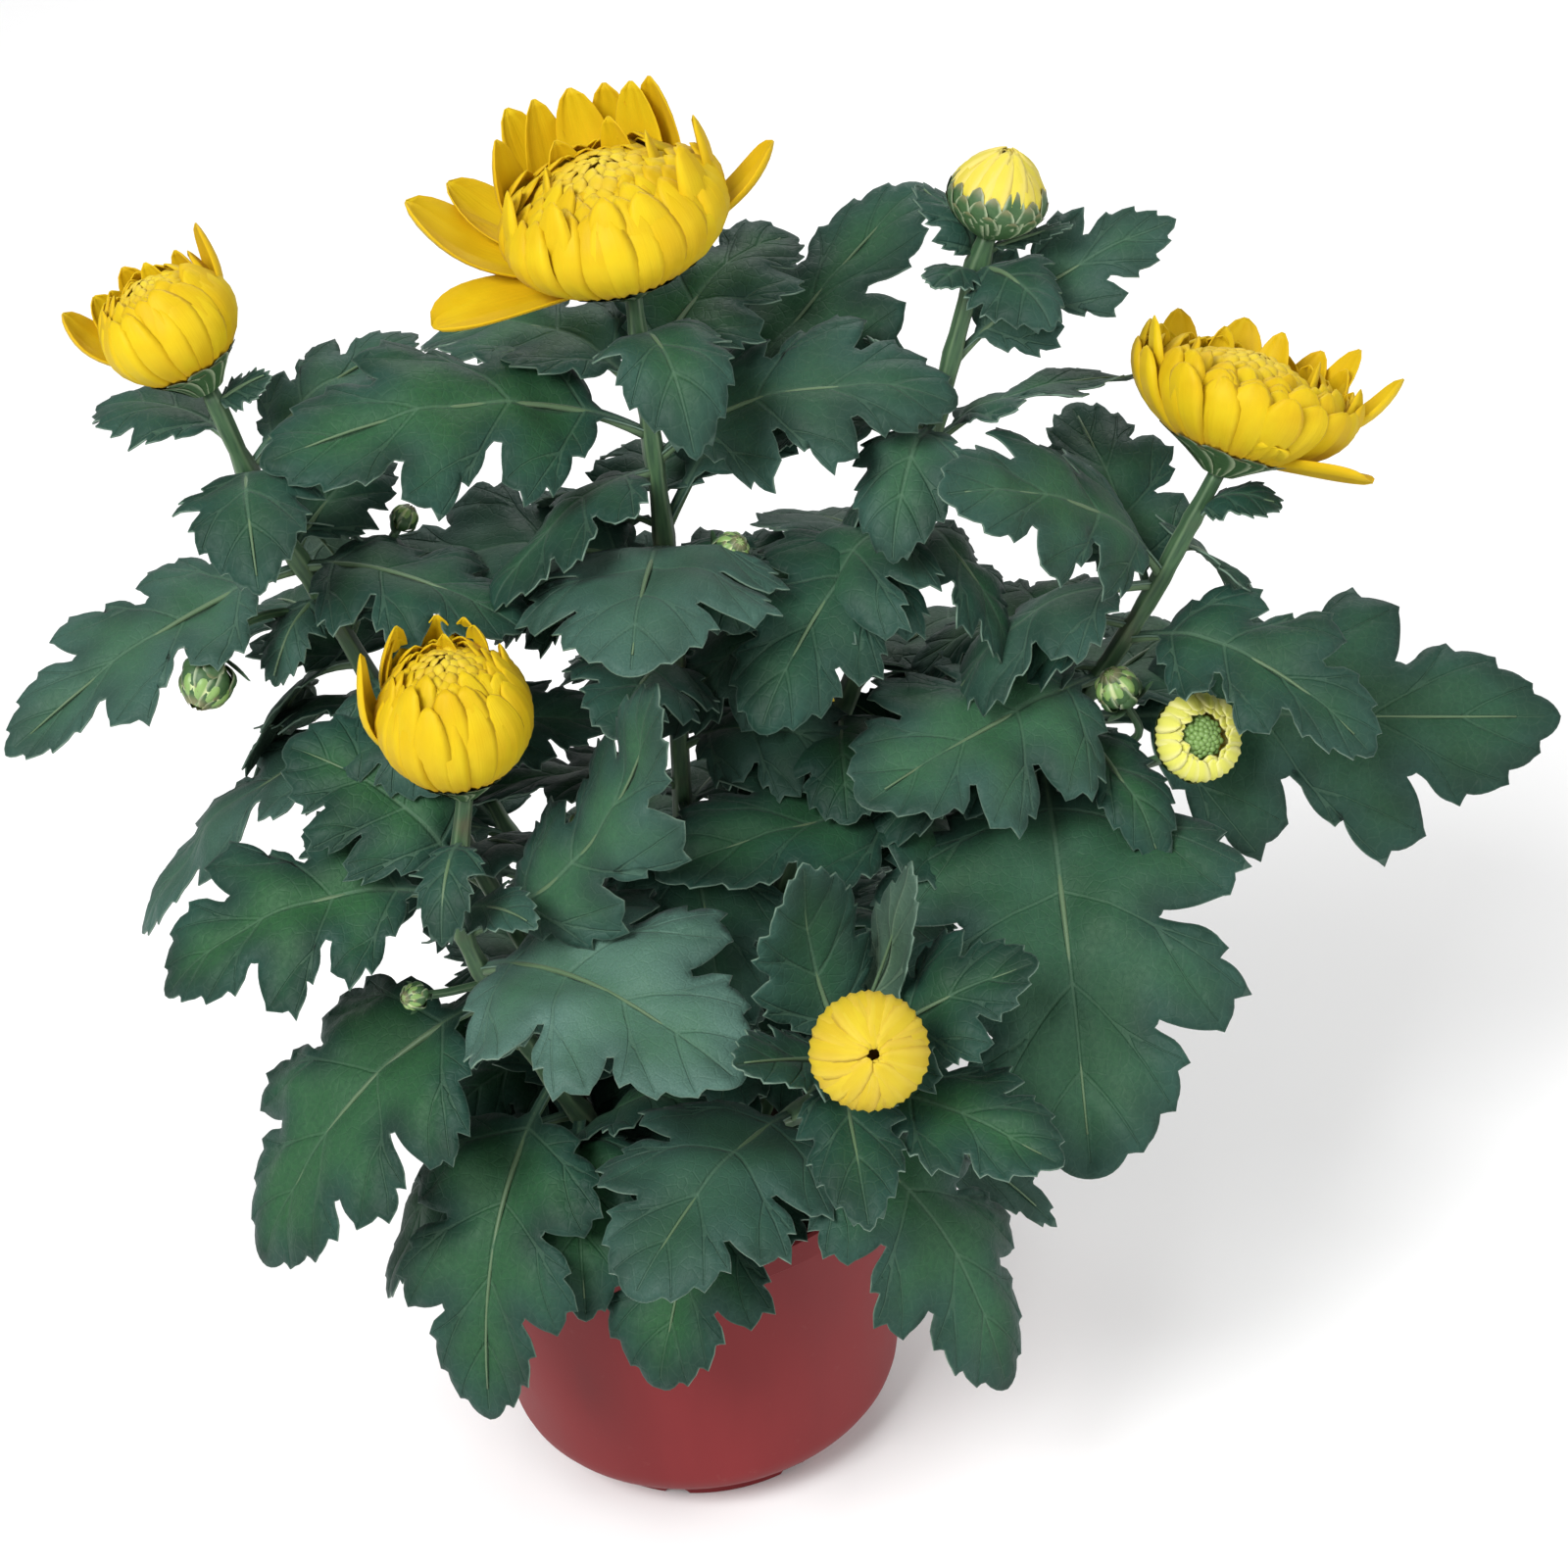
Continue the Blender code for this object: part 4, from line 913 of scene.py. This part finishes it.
def calyx_patches(name):
    """The green cup below a flower head with bracts pressed to its outer petals."""
    _, axis, _, _, radius, *_ = FLOWERS[name]
    rng = random.Random(name + " calyx")
    place, turn = flower_seat(name), axis_turn(axis)
    steps = np.linspace(0, 1, 5)
    route = place + np.outer((steps - 1) * CALYX_HEIGHT, unit(np.asarray(axis, float)))
    radii = STEM_TOP_RADIUS + (radius - STEM_TOP_RADIUS) * steps ** 0.7
    made = [tube_patch(route, radii, 24, 0, tint=0.4)]
    count, reach = BRACTS.get(name, BRACTS["bloom"])
    for row in range(BRACT_ROWS):
        for azimuth in azimuths(count, 0.5 * row, 0.08, rng):
            own = reach * (0.60 + 0.20 * row) * rng.uniform(0.92, 1.08)
            knots = curve_start(outer_route(name), own)
            knots += np.outer((0.2, 1.0, 1.0, 1.0), (1.35 - 0.3 * row, -0.5))
            knots[0] = (STEM_TOP_RADIUS * 2, 0.6 - CALYX_HEIGHT)
            width = math.tau * max(radius, knots[2][0]) / count * 1.05
            made.append(petal_patch(place, turn, azimuth, knots, width, 3, rng, cup=0.12,
                                    blunt=0.45, shingle=0.05, **BRACT_GRID))
    return made


def flower_seat(name):
    """Where a flower head sits: the middle of its calyx's flat top."""
    carrier = FLOWERS[name][0]
    end = FLOWER_STALKS[name][2][-1] if name in FLOWER_STALKS else STEMS[carrier][-1]
    return np.asarray(end, float) + unit(np.asarray(FLOWERS[name][1], float)) * (CALYX_HEIGHT - 1)


def side_stalk(knots, height, points, radius, sides):
    """A stalk that leaves a stem at a height: its line and its tube."""
    line = smooth_route([stem_point(knots, height), *points])
    return line, tube_patch(line, radius, sides, 0, STEM_RIBS, 0.08, tint=0.7)


def stem_patches(name):
    """One leafy stem: ribbed stem, leaf stalks, shoots with buds and calyxes, then its blades."""
    knots, leaves = STEMS[name], LEAVES[name] + LEAFLETS.get(name, ())
    route = smooth_route(knots)
    radii = np.linspace(0, 1, len(route)) * (STEM_TOP_RADIUS - STEM_BASE_RADIUS) + STEM_BASE_RADIUS
    for height, *_ in leaves:
        radii = radii * (1 + 0.22 * np.exp(-((route[:, 2] - height) / 3.0) ** 2))
    green = [tube_patch(route, radii, STEM_SIDES, 0, STEM_RIBS, 0.09, tint=0.5)]
    rng, inner = random.Random(name), random.Random(name + " inner")
    grown = [(f"{name} {index}", leaf, BLADE_GRID, rng) for index, leaf in enumerate(leaves)]
    grown += [(f"{name} inner {index}", leaf, INNER_GRID, inner)
              for index, leaf in enumerate(inner_leaves(knots, inner))]
    blades = []
    for label, leaf, step, source in grown:
        blade, stalk = leaf_patches(label, stem_point(knots, leaf[0]), leaf, step, source)
        blades.append(blade)
        green.append(stalk)
    extra = random.Random(name + " shoots")
    for height, points, radius in SHOOTS.get(name, ()):
        line, stalk = side_stalk(knots, height, points, SHOOT_RADIUS, 10)
        green += [stalk, *green_bud_patches(line[-1], line[-1] - line[-2], radius, extra)]
    for carrier, height, points in FLOWER_STALKS.values():
        if carrier == name:
            green.append(side_stalk(knots, height, points, SHOOT_RADIUS * 1.3, 12)[1])
    for flower, (carrier, *_) in FLOWERS.items():
        if carrier == name:
            green += calyx_patches(flower)
    return green, blades


# Flower heads

def whorl(place, turn, count, phase, route, width, rng, young=0.0):
    """A ring of petals, each on its own slightly different curve."""
    made = []
    for azimuth in azimuths(count, phase, 0.05, rng):
        grown = rng.uniform(0.95, 1.04)
        own = [(radius, height * (grown if knot > 1 else 1.0))
               for knot, (radius, height) in enumerate(route)]
        own[-1] = (own[-1][0] * rng.uniform(0.86, 1.14), own[-1][1])
        made.append(petal_patch(place, turn, azimuth, own, width * rng.uniform(0.92, 1.08), 0,
                                rng, blunt=rng.uniform(0.62, 0.76), young=young,
                                lean=rng.uniform(-1.5, 1.5), fullness=rng.uniform(1.5, 2.2)))
    return made


def standing_petals(place, turn, radius, height, rows, rng):
    """Petals that stand out of the top: tall behind, folded in towards the front."""
    made = []
    for count, first, root, tip, tip_height, width in rows:
        for index in range(count):
            azimuth = math.radians(first + 360.0 * index / count + rng.uniform(-5, 5))
            back = 0.5 + 0.5 * math.sin(azimuth)
            grown = rng.uniform(0.94, 1.05)
            out = radius * tip * (0.78 + 0.30 * back)
            top = height * tip_height * (0.84 + 0.20 * back) * grown
            route = ((radius * 0.24, height * 0.04), (radius * root * 0.90, height * 0.16),
                     (radius * max(root, tip) * 1.08, height * 0.66), (out, top))
            made.append(petal_patch(place, turn, azimuth, route, width, 0, rng, cup=0.34,
                                    blunt=rng.uniform(0.56, 0.70), lean=rng.uniform(-2.5, 2.5),
                                    fullness=rng.uniform(1.3, 2.0)))
    return made


def centre_petals(place, turn, radius, height, rng):
    """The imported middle: small hooked petals on a spiral."""
    made = []
    for index in range(CENTRE_PETALS):
        share = math.sqrt((index + 0.5) / CENTRE_PETALS)
        out = radius * CENTRE_REACH * share
        top = height * (1.06 - 0.13 * share ** 2) + rng.uniform(-0.5, 0.5)
        hook = (1.6 + 3.4 * share) * radius / 32
        route = ((out * 0.85, height * 0.62), (out + hook * 0.9, top - hook * 2.4),
                 (out + hook * 0.5, top + hook * 0.35), (max(0.3, out - hook * 1.3), top - 0.2))
        made.append(petal_patch(place, turn, index * GOLDEN_ANGLE, route,
                                (3.4 + 5.2 * share) * radius / 32, 0, rng, cup=0.42, rows=8,
                                columns=5, groove=0.12, root=0.7, young=0.25 * (1 - share)))
    return made


def disc_patches(place, axis, turn, radius, height, rng):
    """The green disc of an opening head: a low dome set with little knobs."""
    made = [ball_patch(place, axis, radius * DISC_RADIUS, height * DISC_HEIGHT, 2, tint=0.4)]
    for index in range(DISC_KNOBS):
        share = math.sqrt((index + 0.5) / DISC_KNOBS)
        out, azimuth = radius * 0.40 * share, index * GOLDEN_ANGLE
        local = np.array((out * math.cos(azimuth), out * math.sin(azimuth),
                          height * (0.74 - 0.16 * share ** 2)))
        size = rng.uniform(0.75, 1.0) * radius / 15
        made.append(ball_patch(place + turn @ local, axis, size, size * 2.0, 2, rings=5,
                               tint=rng.random()))
    return made


def flower_patches(name):
    """One flower head: a core, whorls round it, standing petals, loose petals and a centre."""
    _, axis, radius, height, _, ribs, rows = FLOWERS[name]
    rng = random.Random(name)
    turn, place = axis_turn(axis), flower_seat(name)
    made = [ball_patch(place, axis, radius * CORE_RADIUS, height * CORE_HEIGHT, 1, tint=0.5)]
    count = int(ribs * PETALS_PER_RIB)
    width = math.tau * radius / count * PETAL_OVERLAP
    for layer in range(len(HEAD_LAYERS[name])):
        made += whorl(place, turn, count - 2 * layer, RING_TURN * layer, outer_route(name, layer),
                      width, rng, YOUNG.get(name, 0.0))
    if name in OPENING_BUDS:
        return made + disc_patches(place, axis, turn, radius, height, rng)
    if name not in TIGHT_BUDS:
        made += standing_petals(place, turn, radius, height, rows, rng)
        made += centre_petals(place, turn, radius, height, rng)
    for azimuth, out, rise, tip_out, tip_rise, width in LOOSE_PETALS.get(name, ()):
        route = ((radius * 0.24, height * 0.05), (out * 0.70, rise + 2.0), (out, rise + 3.0),
                 (tip_out, tip_rise))
        made.append(petal_patch(place, turn, math.radians(azimuth), route, width, 0, rng,
                                cup=0.26, blunt=0.66, groove=0.6, rows=PETAL_ROWS + 2,
                                fullness=2.2))
    return made


# Materials

class Shader:
    """Builds one procedural material."""

    def __init__(self, name, colour):
        self.material = bpy.data.materials.new(name)
        self.material.use_nodes = True
        self.material.diffuse_color = (*colour, 1.0)
        self.tree = self.material.node_tree
        self.surface = self.tree.nodes["Principled BSDF"]

    def plug(self, socket, value):
        """Link another socket to this one, or set its value."""
        if isinstance(value, bpy.types.NodeSocket):
            self.tree.links.new(value, socket)
        elif socket.type == "RGBA":
            socket.default_value = (*value, 1.0)
        else:
            socket.default_value = value

    def node(self, kind, inputs=(), **settings):
        """Add a node, with its inputs linked or set."""
        made = self.tree.nodes.new("ShaderNode" + kind)
        for key, value in settings.items():
            setattr(made, key, value)
        for key, value in dict(inputs).items():
            self.plug(made.inputs[key], value)
        return made

    def value(self, name):
        """A point value of the mesh."""
        return self.node("Attribute", attribute_name=name).outputs["Fac"]

    def math(self, operation, a, b=0.0, clamp=False):
        """A sum of two values."""
        return self.node("Math", {0: a, 1: b}, operation=operation, use_clamp=clamp).outputs[0]

    def span(self, value, low, high, to_low=0.0, to_high=1.0):
        """A value eased from one range to another."""
        inputs = {"Value": value, "From Min": low, "From Max": high, "To Min": to_low,
                  "To Max": to_high}
        return self.node("MapRange", inputs, interpolation_type="SMOOTHSTEP").outputs[0]

    def mix(self, factor, a, b):
        """Two colours mixed."""
        return self.node("Mix", {"Factor": factor, 6: a, 7: b}, data_type="RGBA").outputs[2]

    def coords(self, kind="UV", scale=(1, 1, 1)):
        """Texture coordinates, scaled."""
        source = self.node("TexCoord").outputs[kind]
        return self.node("Mapping", {"Vector": source, "Scale": scale}).outputs[0]

    def noise(self, vector, scale, detail=3.0, roughness=0.5):
        """A noise value."""
        inputs = {"Vector": vector, "Scale": scale, "Detail": detail, "Roughness": roughness}
        return self.node("TexNoise", inputs).outputs["Fac"]

    def bump(self, height, strength, distance, normal=None):
        """A bump, on top of another if asked."""
        inputs = {"Height": height, "Strength": strength, "Distance": distance * MM}
        if normal is not None:
            inputs["Normal"] = normal
        return self.node("Bump", inputs).outputs[0]

    def finish(self, colour, roughness, normal=None, **constants):
        """Wire the surface shader and hand the material over."""
        wired = {"Base Color": colour, "Roughness": roughness, "Normal": normal}
        wired.update({key.replace("_", " "): value for key, value in constants.items()})
        for key, value in wired.items():
            if value is not None:
                self.plug(self.surface.inputs[key], value)
        return self.material

    def glow_through(self, colour, share):
        """Let part of the light pass through a thin sheet."""
        through = self.node("BsdfTranslucent", {"Color": colour}).outputs[0]
        mixed = self.node("MixShader", {0: share, 1: self.surface.outputs[0], 2: through})
        self.plug(self.tree.nodes["Material Output"].inputs["Surface"], mixed.outputs[0])


def leaf_material(name, edge, dark, green, painted_sheen_grey, pale, strength, relief):
    """Leaf skin: uneven green, bluer to the edge, with painted grey sheen and pale main veins."""
    s = Shader(name, green)
    flat, tint, rim = s.coords(), s.value("tint"), s.value("rim")
    midrib, vein = s.value("midrib"), s.value("vein")
    patches = s.noise(flat, 0.05, 2.0)
    mottle = s.noise(flat, 0.7, 4.0, 0.65)
    fleck = s.noise(flat, 2.2, 3.0, 0.6)
    net = s.node("TexVoronoi", {"Vector": flat, "Scale": 0.34, "Randomness": 1.0},
                 feature="DISTANCE_TO_EDGE", voronoi_dimensions="2D").outputs["Distance"]
    net = s.span(net, 0.0, 0.12)
    inner = s.math("MULTIPLY", s.span(rim, 0.5, 13.0), s.span(tint, 0.0, 1.0, 0.35, 1.0))
    colour = s.mix(s.span(patches, 0.3, 0.7), dark, edge)
    colour = s.mix(inner, colour, green)
    colour = s.mix(s.span(mottle, 0.3, 0.8, 0.0, 0.45), colour, dark)
    # Painted sheen: grey laid over the green in patches, by each leaf's own share
    painted_sheen_cover = s.math("MULTIPLY", s.span(fleck, 0.25, 0.75, 0.55, 1.0),
                   s.span(patches, 0.2, 0.75, 0.45, 1.0))
    colour = s.mix(s.math("MULTIPLY", painted_sheen_cover, s.value("silver"), True), colour, painted_sheen_grey)
    colour = s.mix(s.span(net, 0.0, 1.0, 0.05, 0.0), colour, pale)
    fading = s.span(s.value("along"), 0.2, 1.0, 1.0, 0.35)
    for line, core, wide, share in ((midrib, 1.0, 5.0, 0.12), (midrib, 0.5, 1.3, strength),
                                    (vein, 0.5, 1.6, strength * 0.55)):
        near = s.math("MULTIPLY", s.span(line, core, wide, share, 0.0), fading)
        colour = s.mix(near, colour, pale)
    # Painted highlight: a pale line along the blade's edge
    colour = s.mix(s.span(rim, 0.0, 0.45, 0.30, 0.0), colour, (0.13, 0.20, 0.16))
    ribs = s.span(s.math("MINIMUM", midrib, vein), 0.4, 2.2, 0.0, relief)
    raised = None
    for height, amount, depth in ((s.math("MULTIPLY", net, relief), 0.35, 0.2),
                                  (ribs, 0.8, 0.4), (mottle, 0.5, 0.3), (fleck, 0.25, 0.12)):
        raised = s.bump(height, amount, depth, raised)
    made = s.finish(colour, s.span(mottle, 0.3, 0.7, 0.52, 0.66), raised,
                    Specular_IOR_Level=0.22, Sheen_Weight=0.04, Sheen_Roughness=0.45,
                    Sheen_Tint=(0.72, 0.86, 0.9))
    s.glow_through(colour, 0.06)
    return made


def plain_material(name):
    """A skin of two uneven tones, with other colours over it where a point value says so."""
    display, kind, scale, detail, dark, light, layers, roughness, relief, constants = SKINS[name]
    s = Shader(name, display)
    tone = s.noise(s.coords(kind), scale, detail)
    colour = s.mix(tone, dark, light)
    for value, low, high, to_low, to_high, other in layers:
        colour = s.mix(s.span(s.value(value), low, high, to_low, to_high), colour, other)
    raised = s.bump(tone, *relief) if relief else None
    return s.finish(colour, roughness, raised, **constants)


def stem_material():
    """Green stem with paler ridges and a faint blush."""
    s = Shader("stem_green", (0.08, 0.16, 0.05))
    flat = s.coords()
    streak = s.noise(s.coords(scale=(1.0, 0.12, 1.0)), 0.9, 4.0)
    colour = s.mix(s.span(streak, 0.3, 0.7), (0.022, 0.062, 0.028), (0.048, 0.112, 0.045))
    colour = s.mix(s.span(s.value("ridge"), 0.55, 1.0, 0.0, 0.45), colour, (0.15, 0.23, 0.12))
    blush = s.span(s.noise(flat, 0.04, 2.0), 0.58, 0.75, 0.0, 0.35)
    colour = s.mix(blush, colour, (0.16, 0.075, 0.055))
    return s.finish(colour, 0.5, s.bump(streak, 0.4, 0.25), Specular_IOR_Level=0.4,
                    Sheen_Weight=0.1)


def petal_material():
    """Petal skin: clear yellow, deeper towards the root, finely lined lengthwise."""
    s = Shader("petal", (0.93, 0.70, 0.01))
    lines = s.noise(s.coords(scale=(1.0, 0.06, 1.0)), 1.3, 3.0)
    cloud = s.noise(s.coords(), 0.10, 2.0)
    along, across, tint = s.value("along"), s.value("across"), s.value("tint")
    colour = s.mix(s.span(s.math("ADD", cloud, s.math("MULTIPLY", tint, 0.3)), 0.35, 0.95),
                   (0.70, 0.46, 0.004), (0.77, 0.57, 0.008))
    colour = s.mix(s.span(along, 0.04, 0.42, 0.70, 0.0), colour, (0.78, 0.36, 0.003))
    colour = s.mix(s.span(across, 0.74, 1.0, 0.0, 0.18), colour, (0.80, 0.46, 0.004))
    colour = s.mix(s.span(lines, 0.45, 0.75, 0.0, 0.20), colour, (0.82, 0.52, 0.004))
    pale = s.mix(s.span(across, 0.2, 0.9), (0.82, 0.82, 0.16), (0.86, 0.84, 0.34))
    colour = s.mix(s.value("young"), colour, pale)
    made = s.finish(colour, 0.55, s.bump(lines, 0.5, 0.22), Specular_IOR_Level=0.20,
                    Sheen_Weight=0.04)
    s.glow_through(colour, 0.25)
    return made


def pot_material():
    """Satin moulded plastic with faint flow marks, dust and painted shade darker towards the foot."""
    s = Shader("pot_plastic", (0.26, 0.045, 0.05))
    place = s.coords("Object")
    grain = s.noise(place, 900.0, 3.0)
    cloud = s.noise(s.coords("Object", (1.0, 1.0, 0.35)), 34.0, 4.0)
    dust = s.noise(place, 160.0, 5.0, 0.7)
    colour = s.mix(s.span(cloud, 0.3, 0.7), (0.172, 0.016, 0.018), (0.203, 0.023, 0.025))
    colour = s.mix(s.span(dust, 0.62, 0.80, 0.0, 0.25), colour, (0.28, 0.11, 0.10))
    # Painted shade: darker low down, where the wall turns in to the foot
    low = s.node("SeparateXYZ", {0: s.node("TexCoord").outputs["Object"]}).outputs[2]
    colour = s.mix(s.span(low, 0.010, 0.021, 0.50, 0.0), colour, (0.15, 0.014, 0.018))
    rough = s.span(cloud, 0.3, 0.7, 0.46, 0.58)
    return s.finish(colour, rough, s.bump(grain, 0.18, 0.15), Specular_IOR_Level=0.16)


def mix_material():
    """Damp peat: near-black brown crumbs of several browns."""
    s = Shader("potting_mix", (0.03, 0.02, 0.014))
    place = s.coords("Object")
    cells = s.node("TexVoronoi", {"Vector": place, "Scale": 420.0}).outputs["Color"]
    cell = s.node("SeparateColor", {0: cells}).outputs[0]
    grain = s.noise(place, 700.0, 6.0, 0.7)
    colour = s.mix(cell, (0.012, 0.008, 0.006), (0.050, 0.030, 0.018))
    colour = s.mix(s.span(grain, 0.5, 0.8, 0.0, 0.6), colour, (0.085, 0.052, 0.030))
    return s.finish(colour, 0.9, s.bump(grain, 0.9, 1.2), Specular_IOR_Level=0.25)


# Pot and mix

def lathe(name, profile, steps, material):
    """A body turned about the Z axis from a profile that starts and ends on it."""
    angles = np.arange(steps) / steps * math.tau
    verts = [(radius * math.cos(angle), radius * math.sin(angle), height)
             for radius, height in profile[1:-1] for angle in angles]
    verts += [(0, 0, profile[0][1]), (0, 0, profile[-1][1])]
    faces = grid_faces(len(profile) - 2, steps, closed=True)
    top, bottom = len(verts) - 2, len(verts) - 1
    last = top - steps
    for index in range(steps):
        after = (index + 1) % steps
        faces += [(top, after, index), (bottom, last + index, last + after)]
    obj = assemble(name, [patch(verts, faces)], [material])
    bm = bmesh.new()
    bm.from_mesh(obj.data)
    bmesh.ops.recalc_face_normals(bm, faces=bm.faces)
    bm.to_mesh(obj.data)
    bm.free()
    return obj


def make_pot():
    """The pot with rounded edges, arches cut in its foot and drain holes."""
    rim, edge, mouth = RIM_RADIUS + RIM_PROUD, RIM_EDGE, RIM_RADIUS - WALL
    band = POT_HEIGHT - RIM_BAND
    profile = [(0.0, FLOOR), *INSIDE, (mouth, POT_HEIGHT - 0.5), (mouth + 0.6, POT_HEIGHT),
               (rim - edge, POT_HEIGHT), (rim, POT_HEIGHT - edge), (rim, band + edge),
               (rim - edge, band), (RIM_RADIUS - 0.9, band - 0.9), *TURN_IN, (0.0, 0.0)]
    pot = lathe("pot_shell", profile, POT_STEPS, pot_material())
    cutters = bpy.data.collections.new("pot_cutters")
    bpy.context.scene.collection.children.link(cutters)
    lying = Matrix.Rotation(math.pi / 2, 4, "Y")
    for count, first, circle, height, radius, length, lay in (
            (NOTCHES, NOTCH_START, FOOT_RADIUS, -NOTCH_DEPTH, NOTCH_RADIUS, NOTCH_REACH * 2, lying),
            (DRAIN_HOLES, 0.0, DRAIN_CIRCLE, FLOOR / 2, DRAIN_RADIUS, FLOOR * 2, None)):
        for index in range(count):
            turn = Matrix.Rotation(math.tau * index / count + math.radians(first), 4, "Z")
            place = turn @ Vector((circle, 0.0, height))
            add_cutter(radius, length, place, turn @ lay if lay else Matrix(), cutters)
    return cut_openings(pot, cutters)


def cut_openings(obj, cutters):
    """Take the cutters out of a body and drop them."""
    cut = obj.modifiers.new("openings", "BOOLEAN")
    cut.operand_type = "COLLECTION"
    cut.collection = cutters
    cut.operation = "DIFFERENCE"
    cut.solver = "EXACT"
    bpy.context.view_layer.update()
    shaped = obj.evaluated_get(bpy.context.evaluated_depsgraph_get())
    shaped = bpy.data.meshes.new_from_object(shaped)
    obj.modifiers.clear()
    obj.data = shaped
    for cutter in list(cutters.objects):
        bpy.data.objects.remove(cutter, do_unlink=True)
    bpy.data.collections.remove(cutters)
    shaped.shade_smooth()
    shaped.set_sharp_from_angle(angle=math.radians(38))
    return obj


def add_cutter(radius, length, place, turn, collection):
    """A cylinder that cuts an opening."""
    bm = bmesh.new()
    bmesh.ops.create_cone(bm, cap_ends=True, segments=32, radius1=radius * MM,
                          radius2=radius * MM, depth=length * MM)
    mesh = bpy.data.meshes.new("cutter")
    bm.to_mesh(mesh)
    bm.free()
    obj = bpy.data.objects.new("cutter", mesh)
    collection.objects.link(obj)
    obj.matrix_world = Matrix.Translation(Vector(place) * MM) @ turn


def crumb_patch(place, size, rng, slot):
    """One uneven crumb."""
    bm = bmesh.new()
    bmesh.ops.create_icosphere(bm, subdivisions=1, radius=1.0)
    stretch = np.array([rng.uniform(0.7, 1.5), rng.uniform(0.6, 1.2), rng.uniform(0.4, 0.9)])
    turn = np.array(Matrix.Rotation(rng.uniform(0, math.tau), 3, "Z"))
    verts = np.array([tuple(vert.co) for vert in bm.verts])
    verts *= np.array([[rng.uniform(0.75, 1.2)] for _ in verts])
    faces = [tuple(vert.index for vert in face.verts) for face in bm.faces]
    bm.free()
    return patch(place + (verts * stretch * size) @ turn.T, faces, slot)


def mix_level(x, y):
    """The uneven level of the mix at a place."""
    return MIX_LEVEL + noise.noise(Vector((x, y, 3.0)) * 0.07) * MIX_SWELL


def make_mix_crumbs():
    """A crumbly skin over the mix, with loose crumbs and a few pale grains."""
    rng = random.Random("mix")
    verts = []
    for ring in range(MIX_RINGS):
        radius = MIX_RADIUS * (1 - ring / (MIX_RINGS - 0.5))
        for index in range(MIX_SIDES):
            angle = math.tau * index / MIX_SIDES
            x, y = radius * math.cos(angle), radius * math.sin(angle)
            fine = noise.noise(Vector((x, y, 9.0)) * 0.45) * MIX_GRAIN
            verts.append((x, y, mix_level(x, y) + fine + (0.6 if ring else -1.9)))
    faces = grid_faces(MIX_RINGS, MIX_SIDES, closed=True)
    patches = [patch(verts, [*faces, tuple(range(len(verts) - MIX_SIDES, len(verts)))])]
    for index in range(CRUMBS + WHITE_GRAINS):
        radius, angle = MIX_RADIUS * 0.97 * math.sqrt(rng.random()), rng.uniform(0, math.tau)
        x, y = radius * math.cos(angle), radius * math.sin(angle)
        white = index >= CRUMBS
        size = rng.uniform(0.7, 1.3) if white else rng.uniform(0.6, 1.0) ** 2 * 2.2
        place = np.array((x, y, mix_level(x, y) + 1.0))
        patches.append(crumb_patch(place, size, rng, 1 if white else 0))
    return assemble("mix_crumbs", patches, [mix_material(), plain_material("mix_grain")])


# Surroundings

def make_camera():
    """The camera at the picture's viewing angle."""
    data = bpy.data.cameras.new("camera")
    data.lens = LENS
    data.sensor_width = SENSOR
    data.clip_end = 50.0
    camera = add_object("camera", data)
    pitch = Matrix.Rotation(math.radians(90.0 - CAMERA_PITCH), 4, "X")
    roll = Matrix.Rotation(math.radians(-CAMERA_ROLL), 4, "Z")
    camera.matrix_world = Matrix.Translation(CAMERA_PLACE) @ pitch @ roll
    bpy.context.scene.camera = camera


def area_light(name, place, size, power):
    """A soft square light that looks at the plant."""
    data = bpy.data.lights.new(name, "AREA")
    data.size = size
    data.energy = power
    light = add_object(name, data)
    light.location = place
    look = Vector(LIGHT_TARGET) - Vector(place)
    light.rotation_euler = look.to_track_quat("-Z", "Y").to_euler()


def make_surroundings():
    """Pale floor, white sky and soft studio lights."""
    corners = [(x * FLOOR_REACH, y * FLOOR_REACH, 0)
               for x, y in ((-1, -1), (1, -1), (1, 1), (-1, 1))]
    floor = assemble("floor", [patch(corners, [(0, 1, 2, 3)])], [])
    s = Shader("floor_paper", (0.9, 0.9, 0.9))
    tone = s.noise(s.coords("Object"), 3.0, 2.0)
    floor.data.materials.append(s.finish(s.mix(tone, (0.91, 0.91, 0.91), (0.93, 0.93, 0.93)), 0.9))
    world = bpy.data.worlds.new("studio")
    world.use_nodes = True
    sky = world.node_tree.nodes["Background"]
    sky.inputs["Color"].default_value = (1.0, 1.0, 1.0, 1.0)
    sky.inputs["Strength"].default_value = SKY_STRENGTH
    bpy.context.scene.world = world
    for name, (place, size, power) in LIGHTS.items():
        area_light(name, place, size, power)
    settings = bpy.context.scene.view_settings
    settings.view_transform = "Standard"
    settings.exposure = 0.0


def dress(obj, slot, *nodes):
    """Tie a piece to the frame."""
    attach(obj, "root")
    if nodes:
        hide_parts(*nodes)
    return obj


def main():
    """Set up the picture, then dress every node of the frame."""
    make_camera()
    make_surroundings()
    leaf_skins = [leaf_material(*LEAF_TOP), leaf_material(*LEAF_UNDER), plain_material("leaf_rim_highlight")]
    core, ball = plain_material("petal_core"), plain_material("bud_green")
    greens = [stem_material(), core, ball, plain_material("bud_scale")]
    petals = [petal_material(), core, ball]
    for name in STEMS:
        green, blades = stem_patches(name)
        dress(assemble(name + "_green", green, greens), "foliage", name)
        leaves = assemble(name + "_leaves", blades, leaf_skins)
        dress(thicken(leaves, BLADE_THICKNESS, under=1, rim=2), "foliage", name)
    for name in FLOWERS:
        head = assemble(name + "_petals", flower_patches(name), petals)
        dress(thicken(head, PETAL_THICKNESS), "petals", name)
    dress(make_pot(), "pot", "pot")
    dress(make_mix_crumbs(), "potting_mix")
    frame["nodes"]["potting_mix"].material_slots[0].material = mix_material()


main()
